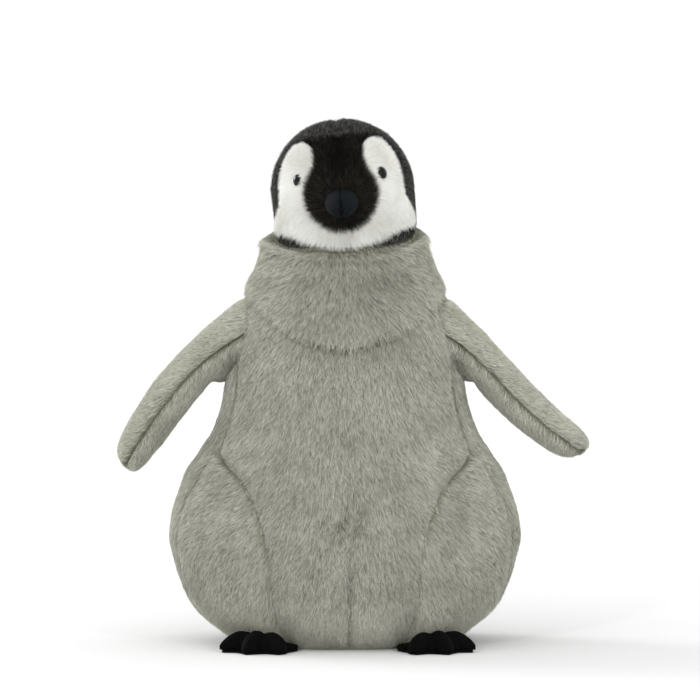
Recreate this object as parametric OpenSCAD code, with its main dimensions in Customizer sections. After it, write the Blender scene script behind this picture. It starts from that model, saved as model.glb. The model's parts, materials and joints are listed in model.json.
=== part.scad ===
// Plush penguin chick: grey body with a collar fold, black and white head, sewn wings, feet and tail.
// The front faces -Y, +Z is up, and the origin is the centre of the flat base panel it stands on.
// Every panel is a thin shell of backed pile fabric over its own stuffing.

/* [Body] */
// Half width of the belly at its widest
belly_w = 98; // [92:1:102]
// Depth of the belly in front of the middle
belly_front = 72; // [68:1:75]
// Depth of the belly behind the middle
belly_back = 68; // [64:1:70]
// Thickness of a panel: the backing with its pile lying flat
cloth_t = 2.6; // [2.2:0.1:3]
// Gap between neighbouring panels
seam_gap = 0.25; // [0.2:0.05:0.4]
// How far the thighs bulge past the body
thigh_bulge = 5; // [2:0.5:7]
// Depth of the valley along a body seam
seam_dip = 3; // [1:0.5:4]
// Thickness of the base panel
base_t = 1.8; // [1.5:0.1:2.5]

/* [Head] */
// Radius of the head
head_r = 38.5; // [38:0.5:40]
// Height of the neck pivot, the centre of the neck ball
neck_z = 240; // [238:1:242]
// Height of the centre of the crown
crown_z = 258.5; // [256:0.5:260]
// Lean of the crown towards -X, in degrees
head_lean = 5; // [0:1:6]
// Turn of the face towards +X, in degrees
head_yaw = -1; // [-6:1:6]
// How far the muzzle stands in front of the head ball
muzzle_out = 12; // [8:1:14]
// Clearance around the neck ball
neck_gap = 0.5; // [0.4:0.1:0.8]
// Thickness of the wad of stuffing in the neck
neck_wad_t = 7; // [5:1:9]

/* [Beak and eyes] */
// Length of the beak
beak_l = 19; // [16:1:21]
// Half width of the beak at its base
beak_w = 9; // [8:0.2:11]
// Half height of the beak at its base
beak_h = 7.4; // [6.5:0.1:9]
// Droop of the beak, in degrees
beak_droop = 12; // [5:1:20]
// Thickness of the beak cloth
beak_t = 0.9; // [0.7:0.1:1.2]
// Diameter of an eye
eye_d = 9; // [8:0.5:10]
// Height of an eye's dome
eye_dome = 3.6; // [3:0.2:4.5]
// Diameter of an eye's shank
shank_d = 3; // [2.6:0.1:3.4]
// Length of an eye's shank
shank_l = 11; // [10:0.5:12]
// Diameter of an eye washer
washer_d = 13; // [11:0.5:14]
// Thickness of an eye washer
washer_t = 1.4; // [1:0.1:2]

/* [Wings] */
// Distance of a shoulder pivot from the middle
shoulder_x = 70; // [70:0.5:73]
// Height of the shoulder pivots
shoulder_z = 172; // [171:0.5:175]
// Length of a wing past its pivot
wing_l = 89; // [84:1:93]
// Half thickness of a wing
wing_h = 11.3; // [10:0.1:12]
// Half width of a wing, front to back
wing_w = 23; // [20:1:25]
// Droop of the -X wing below level, in degrees
wing_droop_left = 43; // [38:1:46]
// Droop of the +X wing below level, in degrees
wing_droop_right = 55; // [48:1:56]
// How far the left wing's tip is bent up from its droop, in millimetres
wing_bend_left = -14; // [-16:1:0]
// How far the right wing's tip is bent up from its droop, in millimetres
wing_bend_right = 17; // [0:1:18]
// Thickness of wing, foot and tail panels
thin_t = 2; // [1.6:0.1:2.4]

/* [Feet and tail] */
// Distance of the left foot's middle from the middle plane
foot_x_left = 45; // [45:1:52]
// Distance of the right foot's middle from the middle plane
foot_x_right = 48; // [45:1:52]
// Distance of a foot's middle in front of the middle
foot_y = 49; // [49:1:51]
// Reach of the toes in front of a foot's middle
foot_reach = 28; // [26:1:30]
// Height of a foot
foot_h = 9; // [7:0.5:9.5]
// Thickness of a sole
sole_t = 1.4; // [1:0.1:2]
// Length of the tail past its hinge
tail_l = 24; // [18:1:28]
// Height of the tail hinge
tail_z = 27; // [24:1:30]
// Droop of the tail, in degrees
tail_droop = 32; // [20:1:36]

/* [Hidden] */

GREY = [0.60, 0.60, 0.54];
PALE = [0.66, 0.65, 0.58];
BLACK = [0.10, 0.10, 0.10];
WHITE = [0.92, 0.92, 0.90];
FIBRE = [0.97, 0.97, 0.95];
LEFT = -1;
RIGHT = 1;

// Body sections: height, half width, depth in front, depth behind, as shares of the belly's own
BODY = [
    [0, 0.52, 0.52, 0.58], [5, 0.645, 0.67, 0.73], [11, 0.745, 0.79, 0.83], [22, 0.865, 0.905, 0.925],
    [34, 0.93, 0.965, 0.975], [48, 0.975, 1.0, 1.0], [62, 1.0, 1.0, 0.99], [80, 0.97, 0.97, 0.94],
    [97, 0.905, 0.92, 0.87], [110, 0.82, 0.88, 0.82], [122, 0.75, 0.85, 0.78],
    [140, 0.695, 0.81, 0.74], [165, 0.655, 0.77, 0.72], [180, 0.625, 0.74, 0.71],
    [192, 0.59, 0.71, 0.69], [204, 0.545, 0.66, 0.67], [214, 0.50, 0.61, 0.655],
    [224, 0.468, 0.565, 0.65], [234, 0.447, 0.57, 0.64], [246, 0.44, 0.58, 0.64]];
// Where the body's panels end and the collar begins: degrees from the front, height
COLLAR_FOOT = [[0, 172], [22, 178], [48, 192], [75, 201], [110, 203], [180, 203]];
// The collar's top rim
COLLAR_RIM = [[0, 226], [30, 227], [60, 229.5], [90, 233], [120, 237], [180, 238.5]];
// The seam from the front panel to the thigh: height, degrees from the front
THIGH_SEAM = [[0, 23], [40, 23], [56, 24], [68, 26], [80, 29.5], [93, 36], [101, 46], [108, 58], [112, 63.5]];
// The side seam to the back panel
SIDE_SEAM = [[0, 76], [35, 75], [60, 69], [80, 67], [94, 63.5], [130, 65], [150, 66], [203, 72]];
THIGH_TOP = 112;
BODY_BASE = 0.4;
COLLAR_LIFT = 2.2;
// Sections are rounded oblongs at the base and nearly ellipses above
ROUNDNESS = [[0, 0.74], [25, 0.82], [60, 0.94], [250, 0.96]];

// Head rows run from the crown (0) over the side (90) to the neck; columns are degrees from the front
HEAD_SIDE = crown_z - neck_z;
MASK_EDGE = [[45, 44], [47, 34], [50, 28], [55, 24.5], [62, 22], [70, 21], [80, 25], [90, 28.5],
    [97, 27], [104, 20.5], [108, 13], [112.5, 0.6]];
CHEEK_EDGE = [[45, 46], [47, 52.5], [50, 56], [55, 58], [62, 59.5], [75, 60], [88, 60], [95, 63],
    [101, 74], [106, 83], [112.5, 86]];
CHIN_EDGE = [[0, 127], [27, 121], [52, 116], [88, 114.5], [180, 114.5]];
CHEEK_TOP = 45;
MASK_TOP = 43.5;
MUZZLE_END = 112.5;
CHIN_ROWS = 10;
BAND_END = 146;
MUZZLE_Z = 255;
EYE_ROW = 79;
EYE_SIDE = 37;
EYE_LOOK = 52;
BEAK_Z = 252.5;
BEAK_SINK = 2;

// Wing sections: share of the length, half thickness and half width, as shares of the largest
ROOT_R = 6;
WING = [[0, 0.50, 0.62], [0.10, 0.80, 0.84], [0.22, 0.94, 0.95], [0.40, 1, 1], [0.58, 0.98, 0.94],
    [0.77, 0.92, 0.83], [0.90, 0.79, 0.67], [0.965, 0.54, 0.45], [1, 0.04, 0.04]];
TAIL = [[0, 0.85, 0.9], [0.3, 1, 1], [0.7, 0.8, 0.8], [0.9, 0.5, 0.5], [1, 0.05, 0.05]];
TAIL_H = 5.5;
TAIL_W = 14;
TAIL_Y = belly_back + 5.5;
TOE_SPLAY = 42;
FOOT_TURN = 22;
FOOT_LIFT = 0.3;

function mix(a, b, t) = a + (b - a) * t;
function ease(t) = let (u = max(0, min(1, t))) u * u * (3 - 2 * u);
function bump(d) = exp(-d * d);

// Smooth value of column c at key k in a table whose first column rises
function span_of(table, k, i = 0) =
    i >= len(table) - 2 || k < table[i + 1][0] ? i : span_of(table, k, i + 1);
function slope(table, i, c) =
    let (a = max(i - 1, 0), b = min(i + 1, len(table) - 1))
    (table[b][c] - table[a][c]) / (table[b][0] - table[a][0]);
function look(table, k, c = 1) =
    let (key = max(table[0][0], min(table[len(table) - 1][0], k)),
         i = span_of(table, key),
         h = table[i + 1][0] - table[i][0],
         u = (key - table[i][0]) / h)
    (2 * u^3 - 3 * u^2 + 1) * table[i][c] + (u^3 - 2 * u^2 + u) * h * slope(table, i, c)
    + (3 * u^2 - 2 * u^3) * table[i + 1][c] + (u^3 - u^2) * h * slope(table, i + 1, c);

// Triangles of a grid of points, its rows closed into rings if wrap is true
function grid_faces(rows, cols, start, wrap, flip) =
    [for (i = [0:rows - 2]) for (j = [0:cols - (wrap ? 1 : 2)])
        let (a = start + i * cols + j, b = start + i * cols + (j + 1) % cols, c = a + cols, d = b + cols)
        each flip ? [[a, b, d], [a, d, c]] : [[a, d, b], [a, c, d]]];
function strip_faces(loop, shift) =
    [for (k = [0:len(loop) - 1])
        let (a = loop[k], b = loop[(k + 1) % len(loop)])
        each [[a, b, b + shift], [a, b + shift, a + shift]]];
function border(rows, cols) = concat(
    [for (j = [0:cols - 1]) j],
    [for (i = [1:rows - 1]) i * cols + cols - 1],
    [for (j = [cols - 2:-1:0]) (rows - 1) * cols + j],
    [for (i = [rows - 2:-1:1]) i * cols]);

function reversed(list) = [for (i = [len(list) - 1:-1:0]) list[i]];

// A thin closed shell between an outer and an inner grid. Rows go up, or towards a tip, and columns
// run counter-clockwise as seen from there.
module sheet_shell(outer, inner) {
    rows = len(outer);
    cols = len(outer[0]);
    n = rows * cols;
    polyhedron(
        points = concat([for (r = outer) each r], [for (r = inner) each r]),
        faces = concat(grid_faces(rows, cols, 0, false, false), grid_faces(rows, cols, n, false, true),
            strip_faces(border(rows, cols), n)),
        convexity = 6);
}

// The same, closed into a ring
module ring_shell(outer, inner) {
    rows = len(outer);
    cols = len(outer[0]);
    n = rows * cols;
    polyhedron(
        points = concat([for (r = outer) each r], [for (r = inner) each r]),
        faces = concat(grid_faces(rows, cols, 0, true, false), grid_faces(rows, cols, n, true, true),
            strip_faces([for (j = [0:cols - 1]) j], n),
            strip_faces([for (j = [cols - 1:-1:0]) (rows - 1) * cols + j], n)),
        convexity = 6);
}

// A solid from a stack of rings, closed by a fan at each end
function middle(ring) = [for (a = [0:2]) [for (p = ring) p[a]] * [for (p = ring) 1] / len(ring)];
module ring_solid(rings) {
    rows = len(rings);
    cols = len(rings[0]);
    n = rows * cols;
    polyhedron(
        points = concat([for (r = rings) each r], [middle(rings[0]), middle(rings[rows - 1])]),
        faces = concat(grid_faces(rows, cols, 0, true, false),
            [for (j = [0:cols - 1]) [n, j, (j + 1) % cols]],
            [for (j = [0:cols - 1]) [n + 1, n - cols + (j + 1) % cols, n - cols + j]]),
        convexity = 6);
}

// ---- Body ----

function rounded(v, z) = sign(v) * abs(v)^look(ROUNDNESS, z);
// Valleys along the seams and the bulge of the thighs, as a change of the radius
function body_relief(z, side) =
    let (seam = look(THIGH_SEAM, z), back_seam = look(SIDE_SEAM, z))
    thigh_bulge * bump((z - 62) / 38) * bump((side - 52) / 24)
    - seam_dip * bump((side - seam) / 7) * ease((THIGH_TOP + 8 - z) / 14)
    - seam_dip * 0.6 * bump((side - back_seam) / 6) * ease((175 - z) / 30);
// A point of the body's skin, `inset` inside it; side is in degrees from the front
function body_point(z, side, inset = 0) =
    let (across = belly_w * look(BODY, z, 1),
         along = side <= 90 ? belly_front * look(BODY, z, 2) : belly_back * look(BODY, z, 3),
         grow = body_relief(z, side) - inset)
    [(across + grow) * rounded(sin(side), z), -(along + grow) * rounded(cos(side), z), z];
// Heights are level near the base and follow the collar's foot near the top
function body_height(level, side) =
    level + (look(COLLAR_FOOT, side) - seam_gap - BODY[15][0]) * ease((level - 120) / (BODY[15][0] - 120));
LEVELS = [for (t = [0:1:19]) BODY_BASE + (BODY[15][0] - BODY_BASE) * (t / 19)^1.15];
function edge_gap(z) = seam_gap * 90 / (PI * belly_w * look(BODY, z, 1) / 2);
function body_grid(levels, from, to, cols, inset) =
    [for (level = levels)
        let (a = from(level), b = to(level))
        [for (j = [0:cols])
            let (side = mix(a, b, j / cols))
            body_point(body_height(level, side), side, inset)]];
module body_panel(levels, from, to, cols) {
    sheet_shell(body_grid(levels, from, to, cols, 0), body_grid(levels, from, to, cols, cloth_t));
}
function front_edge(z) =
    (z < THIGH_TOP ? min(look(THIGH_SEAM, z), look(SIDE_SEAM, z)) : look(SIDE_SEAM, z)) - edge_gap(z);

FRONT_COLS = 9;
function front_row(level, inset) =
    let (edge = front_edge(level))
    [for (j = [-FRONT_COLS:FRONT_COLS])
        let (side = edge * abs(j) / FRONT_COLS, p = body_point(body_height(level, side), side, inset))
        [sign(j) * p[0], p[1], p[2]]];
module front_panel() color(GREY)
    sheet_shell([for (level = LEVELS) front_row(level, 0)], [for (level = LEVELS) front_row(level, cloth_t)]);

module on_side(side) {
    if (side == RIGHT) children();
    else mirror([1, 0, 0]) children();
}

module thigh_panel(side) on_side(side) color(GREY) {
    levels = [for (t = [0:12]) mix(BODY_BASE, THIGH_TOP - 2.5, t / 12)];
    body_panel(levels, function(z) look(THIGH_SEAM, z) + edge_gap(z),
        function(z) look(SIDE_SEAM, z) - edge_gap(z), 6);
}

module back_panel(side) on_side(side) color(PALE)
    body_panel(LEVELS, function(z) look(SIDE_SEAM, z) + edge_gap(z), function(z) 180 - edge_gap(z), 9);

// The base outline keeps inside the panels
function base_outline(inset) =
    [for (a = [0:10:350])
        let (side = a <= 180 ? a : 360 - a, p = body_point(BODY_BASE, side, inset))
        [a <= 180 ? p[0] : -p[0], p[1]]];
module base_panel() color(PALE)
    linear_extrude(base_t) polygon(base_outline(cloth_t + seam_gap));

// The collar: a fold of fur from the shoulders to the chin, lifted at its foot and round the neck ball inside
COLLAR_STEPS = 6;
function collar_point(t, side, inset) =
    let (low = look(COLLAR_FOOT, side) + seam_gap, high = look(COLLAR_RIM, side),
         z = mix(low, high, t), lift = COLLAR_LIFT * (1 - t)^2 * (0.35 + 0.65 * bump(side / 60)))
    body_point(z, side, inset - lift);
function neck_clear(p, extra) =
    let (reach = head_r + neck_gap + extra, dz = p[2] - neck_z, flat = norm([p[0], p[1]]),
         need = sqrt(max(0, reach^2 - dz^2)))
    flat < need ? [p[0] * need / flat, p[1] * need / flat, p[2]] : p;
function both_sides(ring) = concat(ring, [for (j = [len(ring) - 2:-1:1]) [-ring[j][0], ring[j][1], ring[j][2]]]);
function collar_ring(t, inset, extra) =
    both_sides([for (side = [0:12:180]) neck_clear(collar_point(t, side, inset), extra)]);
module neck_collar() color(GREY)
    ring_shell([for (i = [0:COLLAR_STEPS]) collar_ring(i / COLLAR_STEPS, 0, 2.2)],
        [for (i = [0:COLLAR_STEPS]) collar_ring(i / COLLAR_STEPS, cloth_t + 1, 0)]);

// Stuffing: from the roof of the pellet hollow, round the body, and down into the neck cup
POUCH_W = 42;
POUCH_D = 30;
POUCH_H = 22;
POUCH_Z = base_t + seam_gap;
CUP_R = head_r + neck_gap + neck_wad_t + 2 * neck_gap;
CUP_TURN = 38;
// Room between the stuffing and the cloth, where the seams dip inwards
STUFFING_GAP = 3.2;
function half_ring(side_list, f) = both_sides([for (side = side_list) f(side)]);
SIDES = [0:15:180];
function hollow_ring(t) =
    half_ring(SIDES, function(side)
        [(POUCH_W + 1.5) * sin(t) * sin(side), -(POUCH_D + 1.5) * sin(t) * cos(side) + 2,
            POUCH_Z + (POUCH_H + 1) * cos(t)]);
function stuffing_ring(level) =
    half_ring(SIDES, function(side)
        body_point(min(body_height(level, side), look(COLLAR_FOOT, side) - 1) + 2.2, side, cloth_t + STUFFING_GAP));
function cup_ring(t) =
    half_ring(SIDES, function(side)
        [CUP_R * sin(t) * sin(side), -CUP_R * sin(t) * cos(side), neck_z - CUP_R * cos(t)]);
module body_stuffing() color(FIBRE)
    ring_solid(concat(
        [for (t = [12, 35, 60, 80, 90]) hollow_ring(t)],
        [for (level = [BODY_BASE, 8, 18, 32, 48, 65, 85, 105, 125, 145, 168, 186, 200]) stuffing_ring(level)],
        [for (t = [CUP_TURN, 26, 12]) cup_ring(t)]));

// The pellet bag: a flat-bottomed dome of lining with its fill inside
function dome_ring(t, inset, low) =
    half_ring(SIDES, function(side)
        [(POUCH_W - inset) * sin(t) * sin(side), -(POUCH_D - inset) * sin(t) * cos(side) + 2,
            low + (POUCH_H - inset - (low - POUCH_Z)) * cos(t)]);
POUCH_TURNS = [90, 70, 50, 30, 12];
LINING_T = 0.8;
module pellet_pouch() color([0.93, 0.93, 0.88]) {
    translate([0, 0, POUCH_Z]) linear_extrude(LINING_T) polygon([for (p = dome_ring(90, 0, 0)) [p[0], p[1]]]);
    ring_solid(concat(
        [for (t = reversed(POUCH_TURNS)) dome_ring(t, LINING_T, POUCH_Z + LINING_T + 0.05)],
        [for (t = POUCH_TURNS) dome_ring(t, 0, POUCH_Z + LINING_T + 0.05)]));
}
module pellet_fill() color([0.85, 0.90, 0.95])
    ring_solid([for (t = POUCH_TURNS) dome_ring(t, 1.1, POUCH_Z + 1.1)]);

// Ladder stitches that close the back seam after stuffing
STITCH_LOW = 78;
STITCH_HIGH = 128;
STITCH_STEP = 5;
STITCH_R = 0.35;
module closing_stitches() color([0.55, 0.54, 0.48])
    for (z = [STITCH_LOW:STITCH_STEP:STITCH_HIGH])
        translate([-1.6, body_point(z, 180)[1] + STITCH_R + 0.25, z])
            rotate([0, 90, 0]) cylinder(r = STITCH_R, h = 3.2, $fn = 16);

// ---- Head ----

module head_place()
    translate([0, 0, neck_z]) rotate([0, -head_lean, head_yaw]) translate([0, 0, -neck_z]) children();

function row_height(t) =
    t < 90 ? crown_z + head_r * cos(t)
    : t < 90 + HEAD_SIDE ? crown_z - (t - 90)
    : neck_z - head_r * sin(t - 90 - HEAD_SIDE);
function row_reach(t) = t < 90 ? head_r * sin(t) : t < 90 + HEAD_SIDE ? head_r : head_r * cos(t - 90 - HEAD_SIDE);
// How far the face stands out of the ball: the muzzle and brow, with a hollow round each eye
function face_relief(x, z) =
    muzzle_out * bump(x / 19) * bump((z - MUZZLE_Z) / (z > MUZZLE_Z ? 22 : 14))
    - 2.2 * bump((abs(x) - 25) / 8) * bump((z - 266) / 9);
function head_point(t, side, inset = 0) =
    let (k = 1 - inset / head_r, x = row_reach(t) * sin(side), y = -row_reach(t) * cos(side),
         z = row_height(t), mid = mix(neck_z, crown_z, ease((z - neck_z) / HEAD_SIDE)),
         out = side < 90 ? face_relief(x, z) * cos(side) : 0)
    [x * k, (y - out) * k, mid + (z - mid) * k];
// Rows below the muzzle spread down to the chin's edge
function chin_row(t, side) =
    t <= MUZZLE_END ? t
    : MUZZLE_END + (t - MUZZLE_END) / CHIN_ROWS * (look(CHIN_EDGE, side) - MUZZLE_END);
HEAD_GAP = seam_gap * 180 / (PI * head_r);
function head_grid(rows, from, to, cols, inset) =
    [for (t = reversed(rows))
        [for (j = [0:cols])
            let (side = mix(from(t), to(t), j / cols))
            head_point(chin_row(t, side), side, inset)]];
module head_panel(side, rows, from, to, cols)
    head_place() on_side(side)
        sheet_shell(head_grid(rows, from, to, cols, 0), head_grid(rows, from, to, cols, cloth_t));

CROWN_ROWS = [1.5, 9, 18, 27, 36, MASK_TOP - 1, CHEEK_TOP, 49, 57, 66, 76, 86, 93, 98, 103, 108, 112.5, 122];
module crown_panel(side) color(BLACK)
    head_panel(side, CROWN_ROWS,
        function(t) t < MASK_TOP ? HEAD_GAP / max(0.05, sin(t)) : min(92, look(CHEEK_EDGE, t) + HEAD_GAP * 1.6),
        function(t) 180 - HEAD_GAP / max(0.05, sin(min(t, 90))), 10);
MASK_ROWS = [MASK_TOP, 46, 49, 54, 60, 67, 74, 81, 88, 94, 100, 105, 109, MUZZLE_END - 1];
module face_mask(side) color(BLACK)
    head_panel(side, MASK_ROWS, function(t) HEAD_GAP,
        function(t) max(2 * HEAD_GAP, look(MASK_EDGE, t) - HEAD_GAP), 5);
CHEEK_ROWS = [CHEEK_TOP, 47, 50, 54, 60, 70, 80, 88, 93, 97, 101, 105, 109, MUZZLE_END, 117, 121.8];
module cheek_panel(side) color(WHITE)
    head_panel(side, CHEEK_ROWS, function(t) t > MUZZLE_END - 0.5 ? HEAD_GAP : look(MASK_EDGE, t) + HEAD_GAP,
        function(t) look(CHEEK_EDGE, t) - HEAD_GAP, 6);

function band_ring(t, inset) =
    both_sides([for (side = [0:12:180])
        head_point(mix(look(CHIN_EDGE, side) + HEAD_GAP, BAND_END, t), side, inset)]);
module neck_band() color(BLACK) head_place()
    ring_shell([for (i = [3:-1:0]) band_ring(i / 3, 0)], [for (i = [3:-1:0]) band_ring(i / 3, cloth_t)]);

HEAD_TURNS = [8, 22, 38, 54, 68, 80, 90, 99, 108, 118, 130, 145, 160, 175, 189];
module head_stuffing() color(FIBRE) head_place()
    ring_solid([for (t = reversed(HEAD_TURNS))
        half_ring(SIDES, function(side) head_point(t, side, cloth_t + 1.3))]);

// The neck wad: a bowl of firm stuffing between the neck ball and the cup in the body
function wad_ring(t, r) =
    half_ring(SIDES, function(side) [r * sin(t) * sin(side), -r * sin(t) * cos(side), neck_z - r * cos(t)]);
WAD_IN = head_r + neck_gap;
WAD_TURN = 36;
module neck_wad() color(FIBRE)
    ring_solid(concat(
        [for (t = [8, 18, 27, WAD_TURN]) wad_ring(t, WAD_IN + neck_wad_t)],
        [for (t = [WAD_TURN, 27, 18, 8]) wad_ring(t, WAD_IN)]));

// The beak: a blunt cone of two knitted halves over its stuffing, pointing forward and down
BEAK_TURNS = [0, 18, 34, 50, 64, 76, 85];
function beak_point(t, a, inset) =
    let (k = 1 - inset / beak_h)
    [beak_w * k * cos(t)^0.8 * sin(a), -beak_l * (1 - inset / beak_l) * sin(t), beak_h * k * cos(t)^0.8 * cos(a)];
module beak_place() head_place()
    translate([0, -(head_r + muzzle_out - BEAK_SINK), BEAK_Z]) rotate([beak_droop, 0, 0]) children();
module beak_cover(side) color([0.13, 0.14, 0.16]) beak_place() on_side(side)
    sheet_shell([for (t = BEAK_TURNS) [for (a = [179:-22.25:1]) beak_point(t, a, 0)]],
        [for (t = BEAK_TURNS) [for (a = [179:-22.25:1]) beak_point(t, a, beak_t)]]);
module beak_stuffing() color(FIBRE) beak_place()
    ring_solid([for (t = [16, 25, 36, 50, 64, 76, 85])
        [for (a = [0:22.5:359]) beak_point(t, -a, beak_t + 0.25)]]);

// Safety eyes: a dome on a ribbed shank, held by a washer inside the cheek
EYE_SINK = 0.4;
module eye_place(side) head_place() on_side(side)
    translate(head_point(EYE_ROW, EYE_SIDE)) rotate([90, 0, EYE_LOOK]) children();
module eye(side) color([0.05, 0.04, 0.04]) eye_place(side) {
    dome_r = (eye_d^2 / 4 + eye_dome^2) / (2 * eye_dome);
    rotate_extrude($fn = 48) intersection() {
        translate([0, eye_dome - dome_r - EYE_SINK]) circle(r = dome_r, $fn = 96);
        translate([0, -EYE_SINK]) square([eye_d, eye_dome + 1]);
    }
    translate([0, 0, -shank_l]) cylinder(d = shank_d, h = shank_l, $fn = 24);
}
module eye_washer(side) color([0.9, 0.9, 0.9]) eye_place(side)
    translate([0, 0, -cloth_t - 2 * washer_t - 1]) difference() {
        cylinder(d = washer_d, h = washer_t, $fn = 48);
        translate([0, 0, -1]) cylinder(d = shank_d + 0.04, h = washer_t + 2, $fn = 48);
    }

// ---- Wings and tail: flattened tubes with round roots, made of an upper and a lower panel ----

function root_share(s, r) = s >= 0 ? 1 : sqrt(max(0.002, 1 - (s / r)^2));
// A point of a tube: s along it, a across it from the front edge (0) over the top to the back edge (180)
function tube_point(table, s, a, long, h, w, r, bend, inset) =
    let (share = max(0, s) / long, root = root_share(s, r),
         half_h = h * look(table, share, 1) * root, half_w = w * look(table, share, 2) * root^0.6,
         kh = 1 - inset / h, kw = 1 - inset / w,
         s_in = s - inset * (s - (long - r) / 2) / ((long + r) / 2))
    [s_in, -half_w * kw * cos(a), half_h * kh * sin(a) + bend * (max(0, s) / long)^2];
function tube_steps(long, r) = concat([for (t = [88, 65, 42, 20]) -r * sin(t)],
    [for (t = [0:8]) long * (1 - (1 - t / 8)^1.6)]);
module tube_panel(table, long, h, w, r, bend, from, to) {
    steps = tube_steps(long, r);
    angles = [for (j = [0:6]) mix(from, to, j / 6)];
    sheet_shell([for (s = steps) [for (a = angles) tube_point(table, s, a, long, h, w, r, bend, 0)]],
        [for (s = steps) [for (a = angles) tube_point(table, s, a, long, h, w, r, bend, thin_t)]]);
}
module tube_stuffing(table, long, h, w, r, bend)
    ring_solid([for (s = tube_steps(long, r))
        [for (a = [0:24:359]) tube_point(table, s, -a, long, h, w, r, bend, thin_t + 0.4)]]);

EDGE_A = 1.2;
function droop(side) = side == LEFT ? wing_droop_left : wing_droop_right;
function bend(side) = side == LEFT ? wing_bend_left : wing_bend_right;
module wing_place(side) on_side(side)
    translate([shoulder_x, 0, shoulder_z]) rotate([0, droop(side), 0]) children();
module wing_outer(side) color(PALE) wing_place(side)
    tube_panel(WING, wing_l, wing_h, wing_w, ROOT_R, bend(side), 180 - EDGE_A, EDGE_A);
module wing_inner(side) color(GREY) wing_place(side)
    tube_panel(WING, wing_l, wing_h, wing_w, ROOT_R, bend(side), -EDGE_A, EDGE_A - 180);
module wing_stuffing(side) color(FIBRE) wing_place(side)
    tube_stuffing(WING, wing_l, wing_h, wing_w, ROOT_R, bend(side));

module tail_place()
    translate([0, TAIL_Y, tail_z]) rotate([-tail_droop, 0, 0]) rotate([0, 0, 90]) children();
module tail_upper() color(PALE) tail_place()
    tube_panel(TAIL, tail_l, TAIL_H, TAIL_W, TAIL_H, 0, 180 - 2 * EDGE_A, 2 * EDGE_A);
module tail_lower() color(GREY) tail_place()
    tube_panel(TAIL, tail_l, TAIL_H, TAIL_W, TAIL_H, 0, -2 * EDGE_A, 2 * EDGE_A - 180);
module tail_stuffing() color(FIBRE) tail_place()
    tube_stuffing(TAIL, tail_l, TAIL_H, TAIL_W, TAIL_H, 0);

// ---- Feet: three padded toes on a flat sole ----

FOOT_SIDE = 19;
FOOT_REAR = 13;
TOE_OUT = 9;
TOE_WIDTH = 13;
// Outline of a foot, with a in degrees from straight ahead
function foot_reach_at(a) =
    let (base = cos(a) > 0 ? norm([FOOT_SIDE * sin(a), (foot_reach - TOE_OUT) * cos(a)])
         : norm([FOOT_SIDE * sin(a), FOOT_REAR * cos(a)]),
         turn = a > 180 ? a - 360 : a)
    base + TOE_OUT * (bump(turn / TOE_WIDTH) + bump((turn - TOE_SPLAY) / TOE_WIDTH)
        + bump((turn + TOE_SPLAY) / TOE_WIDTH));
function foot_xy(a, k) = let (r = foot_reach_at(a) * k) [r * sin(a), -r * cos(a)];
// The top falls from the instep to the toes, and to a thin heel under the belly
function foot_top(p, k) =
    foot_h * sqrt(max(0, 1 - k^2.6)) * (0.35 + 0.65 * ease((2 - p[1]) / 14)) * (1 - 0.35 * ease(-p[1] / 22));
FOOT_ANGLES = [for (j = [0:27]) j * 360 / 28];
FOOT_SHARES = [1, 0.93, 0.8, 0.6, 0.35, 0.12];
function foot_ring(k, shrink, low) =
    [for (a = FOOT_ANGLES)
        let (q = foot_xy(a, k * shrink), p = foot_xy(a, k))
        [q[0], q[1], low + (foot_top(p, k) - (1 - shrink) * foot_h * 0.9 * sqrt(max(0, 1 - k^2.6)))]];
module foot_place(side) on_side(side)
    translate([side == LEFT ? foot_x_left : foot_x_right, -foot_y, FOOT_LIFT])
        rotate([0, 0, FOOT_TURN]) children();
FOOT_IN = 0.88;
FOOT_STUFFING_IN = 0.79;
module foot_upper(side) color(BLACK) foot_place(side)
    ring_solid(concat([for (k = reversed(FOOT_SHARES)) foot_ring(k, FOOT_IN, sole_t + 0.1)],
        [for (k = FOOT_SHARES) foot_ring(k, 1, sole_t + 0.1)]));
module foot_stuffing(side) color(FIBRE) foot_place(side)
    ring_solid([for (k = FOOT_SHARES) foot_ring(k, FOOT_STUFFING_IN, sole_t + 0.2)]);
module foot_sole(side) color(BLACK) foot_place(side)
    linear_extrude(sole_t) polygon([for (a = FOOT_ANGLES) foot_xy(a, 1)]);

front_panel();
thigh_panel(LEFT);  // thigh_panel_left
thigh_panel(RIGHT);  // thigh_panel_right
back_panel(LEFT);  // back_panel_left
back_panel(RIGHT);  // back_panel_right
base_panel();
neck_collar();
body_stuffing();
pellet_pouch();
pellet_fill();
closing_stitches();
neck_wad();
crown_panel(LEFT);  // crown_panel_left
crown_panel(RIGHT);  // crown_panel_right
face_mask(LEFT);  // face_mask_left
face_mask(RIGHT);  // face_mask_right
cheek_panel(LEFT);  // cheek_panel_left
cheek_panel(RIGHT);  // cheek_panel_right
neck_band();
head_stuffing();
beak_cover(LEFT);  // beak_cover_left
beak_cover(RIGHT);  // beak_cover_right
beak_stuffing();
eye(LEFT);  // eye_left
eye(RIGHT);  // eye_right
eye_washer(LEFT);  // eye_washer_left
eye_washer(RIGHT);  // eye_washer_right
wing_outer(LEFT);  // wing_outer_left
wing_outer(RIGHT);  // wing_outer_right
wing_inner(LEFT);  // wing_inner_left
wing_inner(RIGHT);  // wing_inner_right
wing_stuffing(LEFT);  // wing_stuffing_left
wing_stuffing(RIGHT);  // wing_stuffing_right
foot_upper(LEFT);  // foot_upper_left
foot_upper(RIGHT);  // foot_upper_right
foot_sole(LEFT);  // foot_sole_left
foot_sole(RIGHT);  // foot_sole_right
foot_stuffing(LEFT);  // foot_stuffing_left
foot_stuffing(RIGHT);  // foot_stuffing_right
tail_upper();
tail_lower();
tail_stuffing();
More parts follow.
